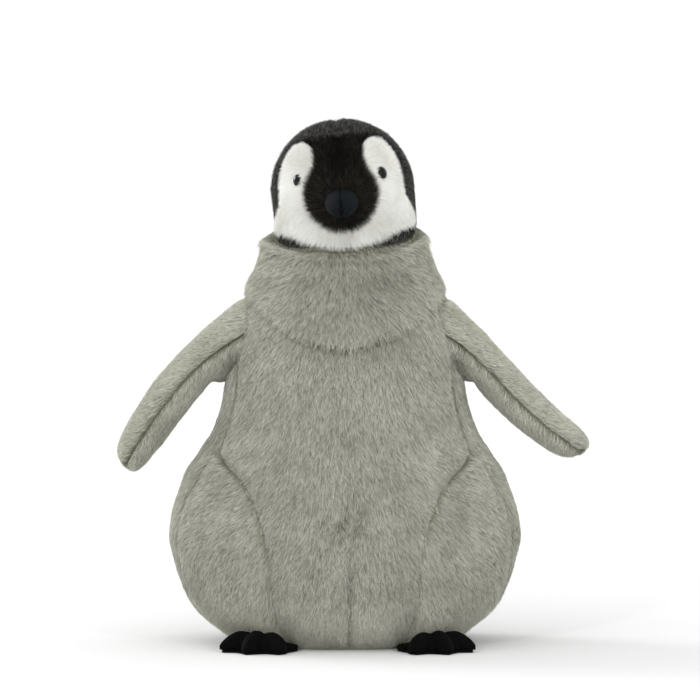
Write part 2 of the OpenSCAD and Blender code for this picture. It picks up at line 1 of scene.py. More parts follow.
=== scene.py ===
"""Plush penguin chick: fur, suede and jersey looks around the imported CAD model.

Every fabric panel is a fine mesh laid on the same surface that its CAD node has, with the tufts of
its pile raised in the mesh, and a coat of fine hair for the renders. Lengths here are millimetres
until a mesh is made, which is in metres. The front faces -Y.
"""
import json
import math

import bpy
import numpy as np
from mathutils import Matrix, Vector

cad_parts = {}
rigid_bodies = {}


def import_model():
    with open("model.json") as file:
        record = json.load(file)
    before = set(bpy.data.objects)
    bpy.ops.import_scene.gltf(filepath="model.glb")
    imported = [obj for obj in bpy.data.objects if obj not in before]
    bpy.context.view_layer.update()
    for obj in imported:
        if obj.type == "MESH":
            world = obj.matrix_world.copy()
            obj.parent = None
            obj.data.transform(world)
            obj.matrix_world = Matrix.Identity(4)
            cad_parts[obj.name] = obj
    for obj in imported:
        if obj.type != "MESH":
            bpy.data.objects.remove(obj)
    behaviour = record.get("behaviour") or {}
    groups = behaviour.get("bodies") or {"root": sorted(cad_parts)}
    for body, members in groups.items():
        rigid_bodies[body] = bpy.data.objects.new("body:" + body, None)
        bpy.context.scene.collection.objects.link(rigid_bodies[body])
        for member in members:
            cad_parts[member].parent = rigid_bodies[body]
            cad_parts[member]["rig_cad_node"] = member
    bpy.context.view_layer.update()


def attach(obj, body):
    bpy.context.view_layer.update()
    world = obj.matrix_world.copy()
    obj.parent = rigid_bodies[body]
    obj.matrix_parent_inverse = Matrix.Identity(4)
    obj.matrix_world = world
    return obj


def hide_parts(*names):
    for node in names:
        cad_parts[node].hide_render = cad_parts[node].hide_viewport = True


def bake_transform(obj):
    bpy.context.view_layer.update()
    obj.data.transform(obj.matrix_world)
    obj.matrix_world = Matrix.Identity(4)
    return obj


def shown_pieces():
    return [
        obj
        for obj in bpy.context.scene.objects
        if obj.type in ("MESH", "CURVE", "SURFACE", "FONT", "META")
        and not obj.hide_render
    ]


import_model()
MM = 0.001
SIDES = (("left", -1), ("right", 1))

# ---- Driving sizes, the same as the CAD's; where there are two, -1 is the left side ----
BELLY_W, BELLY_FRONT, BELLY_BACK = 98.0, 72.0, 68.0
THIGH_BULGE, SEAM_DIP = 5.0, 3.0
HEAD_R, NECK_Z, CROWN_Z = 38.5, 240.0, 258.5
HEAD_LEAN, HEAD_YAW = 5.0, -1.0
MUZZLE_OUT, MUZZLE_Z = 12.0, 255.0
SHOULDER_X, SHOULDER_Z = 70.0, 172.0
WING_L, WING_H, WING_W, WING_ROOT = 89.0, 11.3, 23.0, 6.0
WING_DROOP, WING_BEND = {-1: 43.0, 1: 55.0}, {-1: -14.0, 1: 17.0}
TAIL_L, TAIL_H, TAIL_W, TAIL_ROOT, TAIL_DROOP = 24.0, 5.5, 14.0, 5.5, 32.0
TAIL_Y, TAIL_Z = 73.5, 27.0
FOOT_X, FOOT_Y, FOOT_REACH, FOOT_H, FOOT_TURN = {-1: 45.0, 1: 48.0}, 49.0, 28.0, 9.0, 22.0
FOOT_SIDE, FOOT_REAR, TOE_OUT, TOE_WIDTH, TOE_SPLAY = 19.0, 13.0, 9.0, 13.0, 42.0
BEAK_L, BEAK_W, BEAK_H, BEAK_DROOP, BEAK_Z, BEAK_SINK = 19.0, 9.0, 7.4, 12.0, 252.5, 2.0
COLLAR_LIFT, NECK_GAP = 2.2, 0.5
EYE_D, EYE_DOME = 9.0, 3.6

# Body sections: height, half width, depth in front, depth behind, as shares of the belly's own
BODY = np.array([
    [0, 0.52, 0.52, 0.58], [5, 0.645, 0.67, 0.73], [11, 0.745, 0.79, 0.83], [22, 0.865, 0.905, 0.925],
    [34, 0.93, 0.965, 0.975], [48, 0.975, 1.0, 1.0], [62, 1.0, 1.0, 0.99], [80, 0.97, 0.97, 0.94],
    [97, 0.905, 0.92, 0.87], [110, 0.82, 0.88, 0.82], [122, 0.75, 0.85, 0.78],
    [140, 0.695, 0.81, 0.74], [165, 0.655, 0.77, 0.72], [180, 0.625, 0.74, 0.71],
    [192, 0.59, 0.71, 0.69], [204, 0.545, 0.66, 0.67], [214, 0.50, 0.61, 0.655],
    [224, 0.468, 0.565, 0.65], [234, 0.447, 0.57, 0.64], [246, 0.44, 0.58, 0.64]], float)
ROUNDNESS = np.array([[0, 0.74], [25, 0.82], [60, 0.94], [250, 0.96]], float)
# Collar's lower and upper edge: degrees from the front, and height
COLLAR_FOOT = np.array([[0, 172], [22, 178], [48, 192], [75, 201], [110, 203], [180, 203]], float)
COLLAR_RIM = np.array([[0, 226], [30, 227], [60, 229.5], [90, 233], [120, 237], [180, 238.5]], float)
# Seams: height and degrees from the front
THIGH_SEAM = np.array([
    [0, 23], [40, 23], [56, 24], [68, 26], [80, 29.5], [93, 36], [101, 46], [108, 58], [112, 63.5]], float)
SIDE_SEAM = np.array([
    [0, 76], [35, 75], [60, 69], [80, 67], [94, 63.5], [130, 65], [150, 66], [203, 72]], float)
BODY_LOW, THIGH_TOP, BODY_TOP, COLLAR_JOIN = 0.4, 112.0, 203.6, 204.0
# Head panels: row of the head, and degrees from the middle of the face
MASK_EDGE = np.array([
    [45, 44], [47, 34], [50, 28], [55, 24.5], [62, 22], [70, 21], [80, 25], [90, 28.5],
    [97, 27], [104, 20.5], [108, 13], [112.5, 0.6]], float)
CHEEK_EDGE = np.array([
    [45, 46], [47, 52.5], [50, 56], [55, 58], [62, 59.5], [75, 60], [88, 60], [95, 63],
    [101, 74], [106, 83], [112.5, 86]], float)
CHIN_EDGE = np.array([[0, 127], [27, 121], [52, 116], [88, 114.5], [180, 114.5]], float)
# Wing and tail: share of the length, then half height and half width as shares of the largest
WING = np.array([
    [0, 0.50, 0.62], [0.10, 0.80, 0.84], [0.22, 0.94, 0.95], [0.40, 1, 1], [0.58, 0.98, 0.94],
    [0.77, 0.92, 0.83], [0.90, 0.79, 0.67], [0.965, 0.54, 0.45], [1, 0.04, 0.04]], float)
TAIL = np.array([[0, 0.85, 0.9], [0.3, 1, 1], [0.7, 0.8, 0.8], [0.9, 0.5, 0.5], [1, 0.05, 0.05]], float)
MASK_TOP, CHEEK_TOP, MUZZLE_END, CHIN_ROWS, BAND_END = 43.5, 45.0, 112.5, 10.0, 146.0
CHIN_LIFT, CHIN_LIFT_FROM = 4.5, 95.0
HEAD_SIDE = CROWN_Z - NECK_Z
WAIST_Z = 120.0


# ---- Small tools ----

def look(table, key, column=1):
    """Smooth value of a column at each key, in a table whose first column rises."""
    x = table[:, 0]
    y = table[:, column]
    n = len(x)
    lo = np.maximum(np.arange(n) - 1, 0)
    hi = np.minimum(np.arange(n) + 1, n - 1)
    slope = (y[hi] - y[lo]) / (x[hi] - x[lo])
    k = np.clip(key, x[0], x[-1])
    i = np.clip(np.searchsorted(x, k, side="right") - 1, 0, n - 2)
    h = x[i + 1] - x[i]
    u = (k - x[i]) / h
    return ((2 * u**3 - 3 * u**2 + 1) * y[i] + (u**3 - 2 * u**2 + u) * h * slope[i]
            + (3 * u**2 - 2 * u**3) * y[i + 1] + (u**3 - u**2) * h * slope[i + 1])


def ease(t):
    """Smooth step from 0 to 1 as t goes from 0 to 1."""
    u = np.clip(t, 0, 1)
    return u * u * (3 - 2 * u)


def bump(d):
    """Smooth hump: 1 at d = 0, fading to both sides."""
    return np.exp(-np.asarray(d, float) ** 2)


def mix(a, b, t):
    return a + (b - a) * t


def sind(a):
    return np.sin(np.radians(a))


def cosd(a):
    return np.cos(np.radians(a))


def turn(axis, degrees):
    """Rotation matrix about x, y or z."""
    c, s = math.cos(math.radians(degrees)), math.sin(math.radians(degrees))
    i, j = {"x": (1, 2), "y": (2, 0), "z": (0, 1)}[axis]
    m = np.eye(3)
    m[i, i], m[i, j], m[j, i], m[j, j] = c, -s, s, c
    return m


def unit(v):
    return v / np.maximum(np.linalg.norm(v, axis=-1, keepdims=True), 1e-9)


def soft_noise(p, size, seed):
    """Smooth noise of about -1 to 1 at points p, its lumps `size` across."""
    rng = np.random.default_rng(seed)
    total = np.zeros(p.shape[:-1])
    for _ in range(5):
        way = unit(rng.normal(size=3))
        total += np.sin(p @ way * (2 * math.pi / (size * rng.uniform(0.8, 1.7))) + rng.uniform(0, 6.28))
    return total / 3.2


def normals_of(P):
    """Unit normals of a grid of points, on the left of rows crossed with columns."""
    du = np.gradient(P, axis=0)
    dv = np.gradient(P, axis=1)
    return unit(np.cross(dv, du))


# ---- Surfaces, the same as the CAD's apart from chin_lift and the collar's uneven rim ----

def body_relief(z, side):
    """Valleys along the seams and the bulge of the thighs, as a change of the radius."""
    seam = look(THIGH_SEAM, z)
    back_seam = look(SIDE_SEAM, z)
    return (THIGH_BULGE * bump((z - 62) / 38) * bump((side - 52) / 24)
            - SEAM_DIP * bump((side - seam) / 7) * ease((THIGH_TOP + 8 - z) / 14)
            - SEAM_DIP * 0.6 * bump((side - back_seam) / 6) * ease((175 - z) / 30))


def body_point(z, side, inset=0.0):
    """A point of the body's skin; side is in degrees from the front, negative towards -X."""
    z, side = np.broadcast_arrays(np.asarray(z, float), np.asarray(side, float))
    a = np.abs(side)
    across = BELLY_W * look(BODY, z, 1)
    along = np.where(a <= 90, BELLY_FRONT * look(BODY, z, 2), BELLY_BACK * look(BODY, z, 3))
    grow = body_relief(z, a) - inset
    power = look(ROUNDNESS, z)
    sx = np.sign(side) * np.abs(sind(a)) ** power
    cy = np.sign(cosd(a)) * np.abs(cosd(a)) ** power
    return np.stack([(across + grow) * sx, -(along + grow) * cy, z], -1)


def body_height(level, side):
    """Bends the levels above the waist, so that the highest one runs along the collar's lower edge."""
    rise = look(COLLAR_FOOT, np.abs(side)) - 0.25 - COLLAR_JOIN
    return level + rise * ease((level - WAIST_Z) / (COLLAR_JOIN - WAIST_Z))


def row_height(t):
    """Height of the head's row t: a half ball, a straight side of 1 mm a row, and the neck's ball."""
    below = t - 90 - HEAD_SIDE
    return np.where(t < 90, CROWN_Z + HEAD_R * cosd(t),
                    np.where(below < 0, CROWN_Z - (t - 90), NECK_Z - HEAD_R * sind(below)))


def row_reach(t):
    """Distance of the head's row t from its axis."""
    below = t - 90 - HEAD_SIDE
    return np.where(t < 90, HEAD_R * sind(t), np.where(below < 0, HEAD_R, HEAD_R * cosd(below)))


def face_relief(x, z):
    """How far the face stands out of the ball: muzzle and brow, with a hollow round each eye."""
    return (MUZZLE_OUT * bump(x / 19) * bump((z - MUZZLE_Z) / np.where(z > MUZZLE_Z, 22, 14))
            - 2.2 * bump((np.abs(x) - 25) / 8) * bump((z - 266) / 9))


def head_point(t, side):
    """A point of the head before its lean; side is in degrees from the front, negative towards -X."""
    t, side = np.broadcast_arrays(np.asarray(t, float), np.asarray(side, float))
    x = row_reach(t) * sind(side)
    y = -row_reach(t) * cosd(side)
    z = row_height(t)
    out = np.where(np.abs(side) < 90, face_relief(x, z) * cosd(side), 0)
    return np.stack([x, y - out, z], -1)


def chin_lift(side):
    """Rows by which the left cheek ends higher, so that the black band below it shows."""
    return CHIN_LIFT * bump((side + 62) / 30)


def chin_row(t, side):
    """Bends the rows below the muzzle, so that the last one runs along the cheeks' lower edge."""
    last = MUZZLE_END + CHIN_ROWS
    below = (look(CHIN_EDGE, np.abs(side)) - MUZZLE_END) / CHIN_ROWS
    row = np.where(t <= MUZZLE_END, t, MUZZLE_END + (t - MUZZLE_END) * below)
    return row - chin_lift(side) * ease((t - CHIN_LIFT_FROM) / (last - CHIN_LIFT_FROM))


HEAD_TURN = turn("z", HEAD_YAW) @ turn("y", -HEAD_LEAN)
NECK = np.array([0, 0, NECK_Z])


def head_place(p):
    """Leans and turns a point of the head about the neck."""
    return (p - NECK) @ HEAD_TURN.T + NECK


def tube_point(table, s, a, long, h, w, root_r, bend):
    """A point of a flattened tube: s along it, a round it from the front edge (0) over to the back (180)."""
    share = np.maximum(0, s) / long
    root = np.where(s >= 0, 1, np.sqrt(np.maximum(0.002, 1 - (s / root_r) ** 2)))
    half_h = h * look(table, share, 1) * root
    half_w = w * look(table, share, 2) * root**0.6
    return np.stack(np.broadcast_arrays(s, -half_w * cosd(a), half_h * sind(a) + bend * share**2), -1)


# ---- Meshes ----

def link(obj):
    bpy.context.scene.collection.objects.link(obj)
    return obj


def mesh_object(name, points_mm, faces, material, smooth=True, attributes=()):
    """A mesh from points in millimetres and arrays of faces, each array with its own corner count."""
    mesh = bpy.data.meshes.new(name)
    counts = np.concatenate([np.full(len(f), f.shape[1], np.int32) for f in faces])
    corners = np.concatenate([f.reshape(-1) for f in faces]).astype(np.int32)
    mesh.vertices.add(len(points_mm))
    mesh.vertices.foreach_set("co", (np.asarray(points_mm, np.float32) * MM).reshape(-1))
    mesh.loops.add(len(corners))
    mesh.loops.foreach_set("vertex_index", corners)
    mesh.polygons.add(len(counts))
    mesh.polygons.foreach_set("loop_start", (np.cumsum(counts) - counts).astype(np.int32))
    mesh.update(calc_edges=True)
    mesh.validate()
    mesh.polygons.foreach_set("use_smooth", np.full(len(mesh.polygons), smooth))
    for key, values in dict(attributes).items():
        mesh.attributes.new(key, "FLOAT", "POINT").data.foreach_set("value", np.asarray(values, np.float32))
    mesh.materials.append(material)
    return link(bpy.data.objects.new(name, mesh))


def grid_quads(rows, cols, start=0, wrap=False, flip=False):
    """Quads of a grid whose first point is number `start`; wrap joins the last column to the first."""
    i, j = np.meshgrid(np.arange(rows - 1), np.arange(cols if wrap else cols - 1), indexing="ij")
    a = start + i * cols + j
    b = start + i * cols + (j + 1) % cols
    q = np.stack([a, b, b + cols, a + cols], -1).reshape(-1, 4)
    return q[:, ::-1] if flip else q


INNER_STEP = 6      # outer grid steps to one step of the inner grid


def shell_faces(rows, cols):
    """Faces of a fine outer grid and a coarse inner grid behind it, sewn together along their borders."""
    ri = (rows - 1) // INNER_STEP + 1
    ci = (cols - 1) // INNER_STEP + 1
    n = rows * cols
    outer = grid_quads(rows, cols)
    inner = grid_quads(ri, ci, n, flip=True)
    tris = []

    def sew(fine, coarse):
        for k in range(len(coarse) - 1):
            run = fine[k * INNER_STEP:(k + 1) * INNER_STEP + 1]
            half = len(run) // 2
            for m in range(len(run) - 1):
                tris.append((run[m + 1], run[m], coarse[k] if m < half else coarse[k + 1]))
            tris.append((run[half], coarse[k], coarse[k + 1]))

    j, i = np.arange(cols), np.arange(rows)
    jc, ic = np.arange(ci), np.arange(ri)
    sew(j, n + jc)
    sew(i * cols + cols - 1, n + ic * ci + ci - 1)
    sew((rows - 1) * cols + j[::-1], n + (ri - 1) * ci + jc[::-1])
    sew(i[::-1] * cols, n + ic[::-1] * ci)
    return [outer, inner, np.array(tris)]


def fit_count(length, step):
    """Number of grid points along a length, one more than a multiple of INNER_STEP."""
    return max(2, round(length / step / INNER_STEP)) * INNER_STEP + 1


def grid_lengths(P):
    """Longest column and longest row of a grid of points."""
    rows = np.linalg.norm(np.diff(P, axis=0), axis=-1).sum(0).max()
    cols = np.linalg.norm(np.diff(P, axis=1), axis=-1).sum(1).max()
    return rows, cols


def sample(G, u, v):
    """Bilinear values of grid G at fractional indexes u, v."""
    i = np.clip(u.astype(int), 0, G.shape[0] - 2)
    j = np.clip(v.astype(int), 0, G.shape[1] - 2)
    fu, fv = u - i, v - j
    if G.ndim > 2:
        fu, fv = fu[..., None], fv[..., None]
    return ((G[i, j] * (1 - fu) + G[i + 1, j] * fu) * (1 - fv)
            + (G[i, j + 1] * (1 - fu) + G[i + 1, j + 1] * fu) * fv)


def scatter(P, density, rng):
    """Fractional indexes of random points spread evenly over the grid's area."""
    area = np.linalg.norm(np.cross(P[1:, :-1] - P[:-1, :-1], P[:-1, 1:] - P[:-1, :-1]), axis=-1)
    total = area.sum()
    count = int(total * density)
    cumulative = np.cumsum(area.reshape(-1)) / total
    cell = np.searchsorted(cumulative, (np.arange(count) + rng.random(count)) / count)
    cell = np.minimum(cell, area.size - 1)
    i, j = np.unravel_index(cell, area.shape)
    return i + rng.random(count), j + rng.random(count)


def tangent(flow, N):
    """The flow laid flat on the surface."""
    return unit(flow - (flow * N).sum(-1, keepdims=True) * N)


def stamp_tufts(P, N, flow, density, length, width, height, rng):
    """Height and tone fields of overlapping combed tufts, laid like shingles along the flow. The tone is
    random for each tuft, with painted shade darker at the tuft's root and between tufts.
    """
    rows, cols = P.shape[:2]
    Tu, Tv = np.gradient(P, axis=0), np.gradient(P, axis=1)
    u, v = scatter(P, density, rng)
    n = len(u)
    d = tangent(sample(flow, u, v), sample(N, u, v))
    nn = sample(N, u, v)
    spread = np.cross(nn, d)
    d = unit(d + spread * rng.normal(0, 0.22, n)[:, None])
    across = np.cross(nn, d)
    tu, tv = sample(Tu, u, v), sample(Tv, u, v)
    guu, gvv, guv = (tu * tu).sum(-1), (tv * tv).sum(-1), (tu * tv).sum(-1)
    det = np.maximum(guu * gvv - guv**2, 1e-6)

    def to_index(w):
        a, b = (w * tu).sum(-1), (w * tv).sum(-1)
        return (a * gvv - b * guv) / det, (b * guu - a * guv) / det

    du, dv = to_index(d)
    au, av = to_index(across)
    L = length * rng.uniform(0.7, 1.25, n)
    W = width * rng.uniform(0.7, 1.3, n)
    H = height * rng.uniform(0.55, 1.0, n)
    tone = rng.random(n)
    height_map = np.zeros((rows, cols))
    # Painted shade between the tufts
    tone_map = np.full((rows, cols), 0.3)
    step = np.median(np.sqrt(gvv))
    along = np.linspace(0.05, 1, max(8, int(length / step) + 2))
    side = np.linspace(-1, 1, max(5, int(2 * width / step) + 1))
    order = rng.permutation(n)
    for t in along:
        rise = (t / 0.8) ** 0.8 if t < 0.8 else 1 - 0.55 * (t - 0.8) / 0.2
        narrow = math.sqrt(max(0.05, 1 - (max(0, t - 0.45) / 0.56) ** 2))
        for s in side:
            value = H * rise * (1 - 0.75 * s * s)
            ii = np.rint(u + du * L * t + au * W * narrow * s * 0.5).astype(int)
            jj = np.rint(v + dv * L * t + av * W * narrow * s * 0.5).astype(int)
            ok = (ii >= 0) & (ii < rows) & (jj >= 0) & (jj < cols)
            ok = order[ok[order]]
            better = value[ok] > height_map[ii[ok], jj[ok]]
            ok = ok[better]
            np.maximum.at(height_map, (ii[ok], jj[ok]), value[ok])
            win = height_map[ii[ok], jj[ok]] <= value[ok] + 1e-9
            ok = ok[win]
            # Painted shade: each tuft's tone is darker towards its root
            tone_map[ii[ok], jj[ok]] = tone[ok] * 0.6 + 0.4 * t
    for f in (height_map, tone_map):
        f[1:-1, 1:-1] = (f[1:-1, 1:-1] * 4 + f[:-2, 1:-1] + f[2:, 1:-1] + f[1:-1, :-2] + f[1:-1, 2:]) / 8
    return height_map, tone_map


def strands(P, N, flow, fur, rng):
    """Curves of combed hair: points (n, k, 3), radii (n, k) and a tone for each, gathered in locks."""
    u, v = scatter(P, fur["locks"], rng)
    n = len(u)
    per = fur["per_lock"]
    base = sample(P, u, v)
    nn = unit(sample(N, u, v))
    d = tangent(sample(flow, u, v), nn)
    side = np.cross(nn, d)
    d = unit(d + side * rng.normal(0, fur["stray"], n)[:, None])
    length = fur["length"] * rng.uniform(0.75, 1.2, n)
    if "scale" in fur:
        length = length * fur["scale"](base)
    lift = fur["lift"] * rng.uniform(0.6, 1.35, n)
    tone = rng.random(n)
    k = fur["points"]
    t = np.linspace(0, 1, k)
    spread = fur["spread"]
    out = np.empty((n, per, k, 3), np.float32)
    for m in range(per):
        r = spread * np.sqrt(rng.random(n))
        w = rng.uniform(0, 2 * math.pi, n)
        offset = d * (r * np.cos(w))[:, None] + side * (r * np.sin(w))[:, None]
        own = length * rng.uniform(0.8, 1.1, n)
        bow = rng.normal(0, 0.10, n)
        for q, tq in enumerate(t):
            gather = 1 - fur["clump"] * tq**1.3
            rise = lift * (1 - (1 - tq) ** 2) * own
            out[:, m, q] = (base + offset * gather + d * (own * tq * fur["reach"])[:, None]
                            + nn * rise[:, None] + side * (bow * own * tq * tq)[:, None])
    pts = out.reshape(n * per, k, 3)
    radius = np.linspace(1, 0.25, k)[None, :] * fur["radius"] * rng.uniform(0.8, 1.2, (n * per, 1))
    tones = np.clip(np.repeat(tone, per) + rng.normal(0, 0.12, n * per), 0, 1)
    return pts, radius, tones


def hair_object(name, pts, radius, tones, material, body):
    """Hair curves that ride on a body."""
    n, k = pts.shape[:2]
    if n == 0:
        return
    data = bpy.data.hair_curves.new(name)
    data.add_curves([k] * n)
    data.points.foreach_set("position", (pts * MM).astype(np.float32).reshape(-1))
    data.points.foreach_set("radius", (radius * MM).astype(np.float32).reshape(-1))
    data.attributes.new("tone", "FLOAT", "CURVE").data.foreach_set("value", tones.astype(np.float32))
    data.materials.append(material)
    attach(link(bpy.data.objects.new(name, data)), body)


# ---- Materials ----

class Nodes:
    """Short calls for building a node tree."""

    def __init__(self, name):
        self.material = bpy.data.materials.new(name)
        self.material.use_nodes = True
        self.tree = self.material.node_tree
        self.tree.nodes.clear()
        self.bsdf = self.add("ShaderNodeBsdfPrincipled")
        self.out = self.add("ShaderNodeOutputMaterial")
        self.join(self.bsdf.outputs[0], self.out.inputs["Surface"])

    def add(self, kind, **values):
        node = self.tree.nodes.new(kind)
        for key, value in values.items():
            if key in node.inputs:
                node.inputs[key].default_value = value
            else:
                setattr(node, key, value)
        return node

    def join(self, a, b):
        self.tree.links.new(a, b)

    def set(self, **values):
        for key, value in values.items():
            self.bsdf.inputs[key.replace("_", " ")].default_value = value

    def attribute(self, name):
        return self.add("ShaderNodeAttribute", attribute_name=name).outputs["Fac"]

    def place(self):
        return self.add("ShaderNodeTexCoord").outputs["Object"]

    def noise(self, scale, detail=3.0):
        node = self.add("ShaderNodeTexNoise", Scale=scale, Detail=detail, Roughness=0.6)
        self.join(self.place(), node.inputs["Vector"])
        return node.outputs["Fac"]

    def ramp(self, factor, stops):
        """Colours by a factor; stops are (position, colour) pairs, and a colour may be one grey number."""
        node = self.add("ShaderNodeValToRGB")
        while len(node.color_ramp.elements) < len(stops):
            node.color_ramp.elements.new(0.5)
        for element, (place, colour) in zip(node.color_ramp.elements, stops):
            element.position = place
            element.color = (*colour, 1) if isinstance(colour, tuple) else (colour, colour, colour, 1)
        self.join(factor, node.inputs["Fac"])
        return node.outputs["Color"]

    def multiply(self, a, b):
        """Product of two colours."""
        node = self.add("ShaderNodeMix", data_type="RGBA", blend_type="MULTIPLY")
        node.inputs[0].default_value = 1.0
        self.join(a, node.inputs[6])
        self.join(b, node.inputs[7])
        return node.outputs[2]

    def colour(self, source):
        self.join(source, self.bsdf.inputs["Base Color"])

    def bump(self, height, strength, distance):
        node = self.add("ShaderNodeBump", Strength=strength, Distance=distance)
        self.join(height, node.inputs["Height"])
        self.join(node.outputs["Normal"], self.bsdf.inputs["Normal"])


def srgb(r, g, b):
    """Linear colour from display values of 0 to 255."""
    def one(c):
        c /= 255
        return c / 12.92 if c <= 0.04045 else ((c + 0.055) / 1.055) ** 2.4
    return (one(r), one(g), one(b))


PATCH_SCALE = 45.0      # of the large soft mottling, a metre


def plush_material(name, root, mid, tip):
    """Pile seen from outside: the tufts' tones with their painted shade and light, soft large mottling and a
    fine grain.
    """
    m = Nodes(name)
    pile = m.ramp(m.attribute("tone"), [(0.0, root), (0.5, mid), (1.0, tip)])
    patches = m.ramp(m.noise(PATCH_SCALE), [(0.3, (0.82, 0.82, 0.80)), (0.7, 1.0)])
    grain = m.ramp(m.noise(2600.0, 2.0), [(0.3, 0.8), (0.7, 1.0)])
    m.colour(m.multiply(m.multiply(pile, patches), grain))
    m.set(Roughness=1.0, Specular_IOR_Level=0.05)
    m.bump(m.noise(2200.0, 2.0), 0.5, 0.0002)
    return m.material


def hair_material(name, root, mid, tip, low=0.5, high=1.35):
    """A strand from root to tip, darker at the root as painted shade, times its own tone between low and
    high, times the mottling.
    """
    m = Nodes(name)
    along = m.ramp(m.add("ShaderNodeHairInfo").outputs["Intercept"], [(0.0, root), (0.4, mid), (1.0, tip)])
    own = m.ramp(m.attribute("tone"), [(0.0, (low, low, low * 0.97)), (0.5, 0.95), (1.0, high)])
    patches = m.ramp(m.noise(PATCH_SCALE), [(0.3, (0.84, 0.84, 0.82)), (0.7, 1.06)])
    m.colour(m.multiply(m.multiply(along, own), patches))
    m.set(Roughness=0.8, Specular_IOR_Level=0.08)
    return m.material


# Each pile's colours at its root, middle and tip: of the mesh, then of the hair, then the hair's tones
# The dark roots are painted shade; the black and mask piles' pale tips and high tones are painted sheen
PILES = {
    "grey": ((62, 61, 50), (136, 137, 123), (166, 167, 154),
             (92, 91, 77), (159, 159, 146), (201, 201, 191)),
    "black": ((3, 3, 3), (20, 21, 19), (36, 37, 34), (2, 2, 2), (12, 12, 12), (88, 87, 84), 0.25, 2.6),
    "mask": ((2, 2, 2), (12, 13, 12), (26, 27, 24), (1, 1, 1), (5, 5, 4), (42, 40, 35), 0.12, 3.0),
    "white": ((206, 206, 196), (226, 226, 220), (238, 238, 234),
              (206, 205, 197), (230, 230, 226), (244, 244, 242), 0.9, 1.03),
}
MATERIALS = {pile + "_plush": plush_material(pile + "_plush", *(srgb(*c) for c in values[:3]))
             for pile, values in PILES.items()}
HAIR = {pile + "_plush": hair_material(pile + "_hair", *(srgb(*c) for c in values[3:6]), *values[6:])
        for pile, values in PILES.items()}

# ---- Pile: locks of hair for each kind of fur, a square millimetre and in millimetres ----
BODY_FUR = dict(locks=2.5, per_lock=3, length=5.2, lift=0.24, reach=0.93, spread=0.34, clump=0.8, stray=0.2,
                radius=0.062, points=4)
WING_FUR = dict(BODY_FUR, length=4.2)
COLLAR_FUR = dict(BODY_FUR, length=5.8, stray=0.3, lift=0.27)
CROWN_FUR = dict(BODY_FUR, length=5.2, lift=0.30, locks=2.6, radius=0.05, stray=0.25)
MASK_FUR = dict(BODY_FUR, length=5.4, lift=0.36, locks=3.6, radius=0.045, spread=0.35, clump=0.85, stray=0.22)
CHEEK_FUR = dict(BODY_FUR, length=4.6, lift=0.30, locks=3.6, radius=0.05, spread=0.35, clump=0.5, stray=0.2)


def suede_material(name):
    """Black nap with a fine grain and softly worn areas."""
    m = Nodes(name)
    nap = m.ramp(m.noise(900.0, 4.0), [(0.35, (0.0006, 0.0006, 0.0007)), (0.7, (0.0026, 0.0026, 0.0029))])
    worn = m.ramp(m.noise(60.0, 2.0), [(0.4, 0.75), (0.65, 1.0)])
    m.colour(m.multiply(nap, worn))
    m.set(Roughness=0.9, Specular_IOR_Level=0.06)
    m.bump(m.noise(1800.0, 3.0), 0.6, 0.00025)
    return m.material


def jersey_material(name):
    """Charcoal knit: the stitches are in the mesh, with painted shade between them, in the seam and in the
    stitch holes.
    """
    m = Nodes(name)
    m.colour(m.ramp(m.attribute("tone"), [(0.0, (0.0008, 0.001, 0.0012)), (0.5, srgb(11, 14, 17)),
                                          (1.0, srgb(20, 24, 28))]))
    m.set(Roughness=0.9, Specular_IOR_Level=0.06)
    m.bump(m.noise(4000.0, 2.0), 0.4, 0.0001)
    return m.material


def eye_material(name):
    """Black pupil, dark brown iris with fine spokes, near-black rim."""
    m = Nodes(name)
    ring = m.ramp(m.attribute("tone"), [(0.0, 0.0), (0.66, 0.0), (0.72, srgb(24, 15, 10)),
                                        (0.82, srgb(14, 9, 7)), (0.88, 0.0005)])
    spokes = m.ramp(m.noise(1500.0, 2.0), [(0.35, 0.4), (0.65, 1.3)])
    m.colour(m.multiply(ring, spokes))
    m.set(Roughness=0.03, Specular_IOR_Level=0.2)
    return m.material


def grained_material(name, low, high, scale, rough, depth=0.0003, cells=False):
    """A two-tone grain with the same grain as bump; cells makes it granular."""
    m = Nodes(name)
    if cells:
        cell = m.add("ShaderNodeTexVoronoi", Scale=scale)
        m.join(m.place(), cell.inputs["Vector"])
        factor = cell.outputs["Distance"]
    else:
        factor = m.noise(scale, 5.0)
    m.colour(m.ramp(factor, [(0.3, srgb(*low)), (0.7, srgb(*high))]))
    m.set(Roughness=rough)
    m.bump(factor, 0.6, depth)
    return m.material


# Low and high colour, grain scale and roughness, then the bump's depth and whether it is granular
GRAINS = {
    "washer_plastic": ((205, 203, 196), (224, 222, 216), 400.0, 0.45),
    "polyester_fibre": ((214, 214, 210), (244, 244, 242), 700.0, 0.95, 0.0010),
    "pouch_lining": ((196, 194, 184), (220, 218, 210), 1500.0, 0.9),
    # Painted shade: the pellets darken towards the cells' edges, between pellets
    "plastic_pellets": ((230, 228, 220), (180, 176, 166), 380.0, 0.4, 0.0012, True),
    "sewing_thread": ((122, 118, 100), (150, 147, 128), 2200.0, 0.8),
}
MATERIALS.update(foot_suede=suede_material("foot_suede"), beak_jersey=jersey_material("beak_jersey"),
                 eye_plastic=eye_material("eye_plastic"))
MATERIALS.update({name: grained_material(name, *values) for name, values in GRAINS.items()})


# ---- Coats: fabric panels with their pile ----

def border_distance(P):
    """Distance in millimetres from each grid point to the nearest border, along rows and columns."""
    du = np.linalg.norm(np.diff(P, axis=0), axis=-1)
    dv = np.linalg.norm(np.diff(P, axis=1), axis=-1)
    su = np.concatenate([np.zeros((1, P.shape[1])), np.cumsum(du, 0)])
    sv = np.concatenate([np.zeros((P.shape[0], 1)), np.cumsum(dv, 1)], 1)
    return np.minimum.reduce([su, su[-1:] - su, sv, sv[:, -1:] - sv])


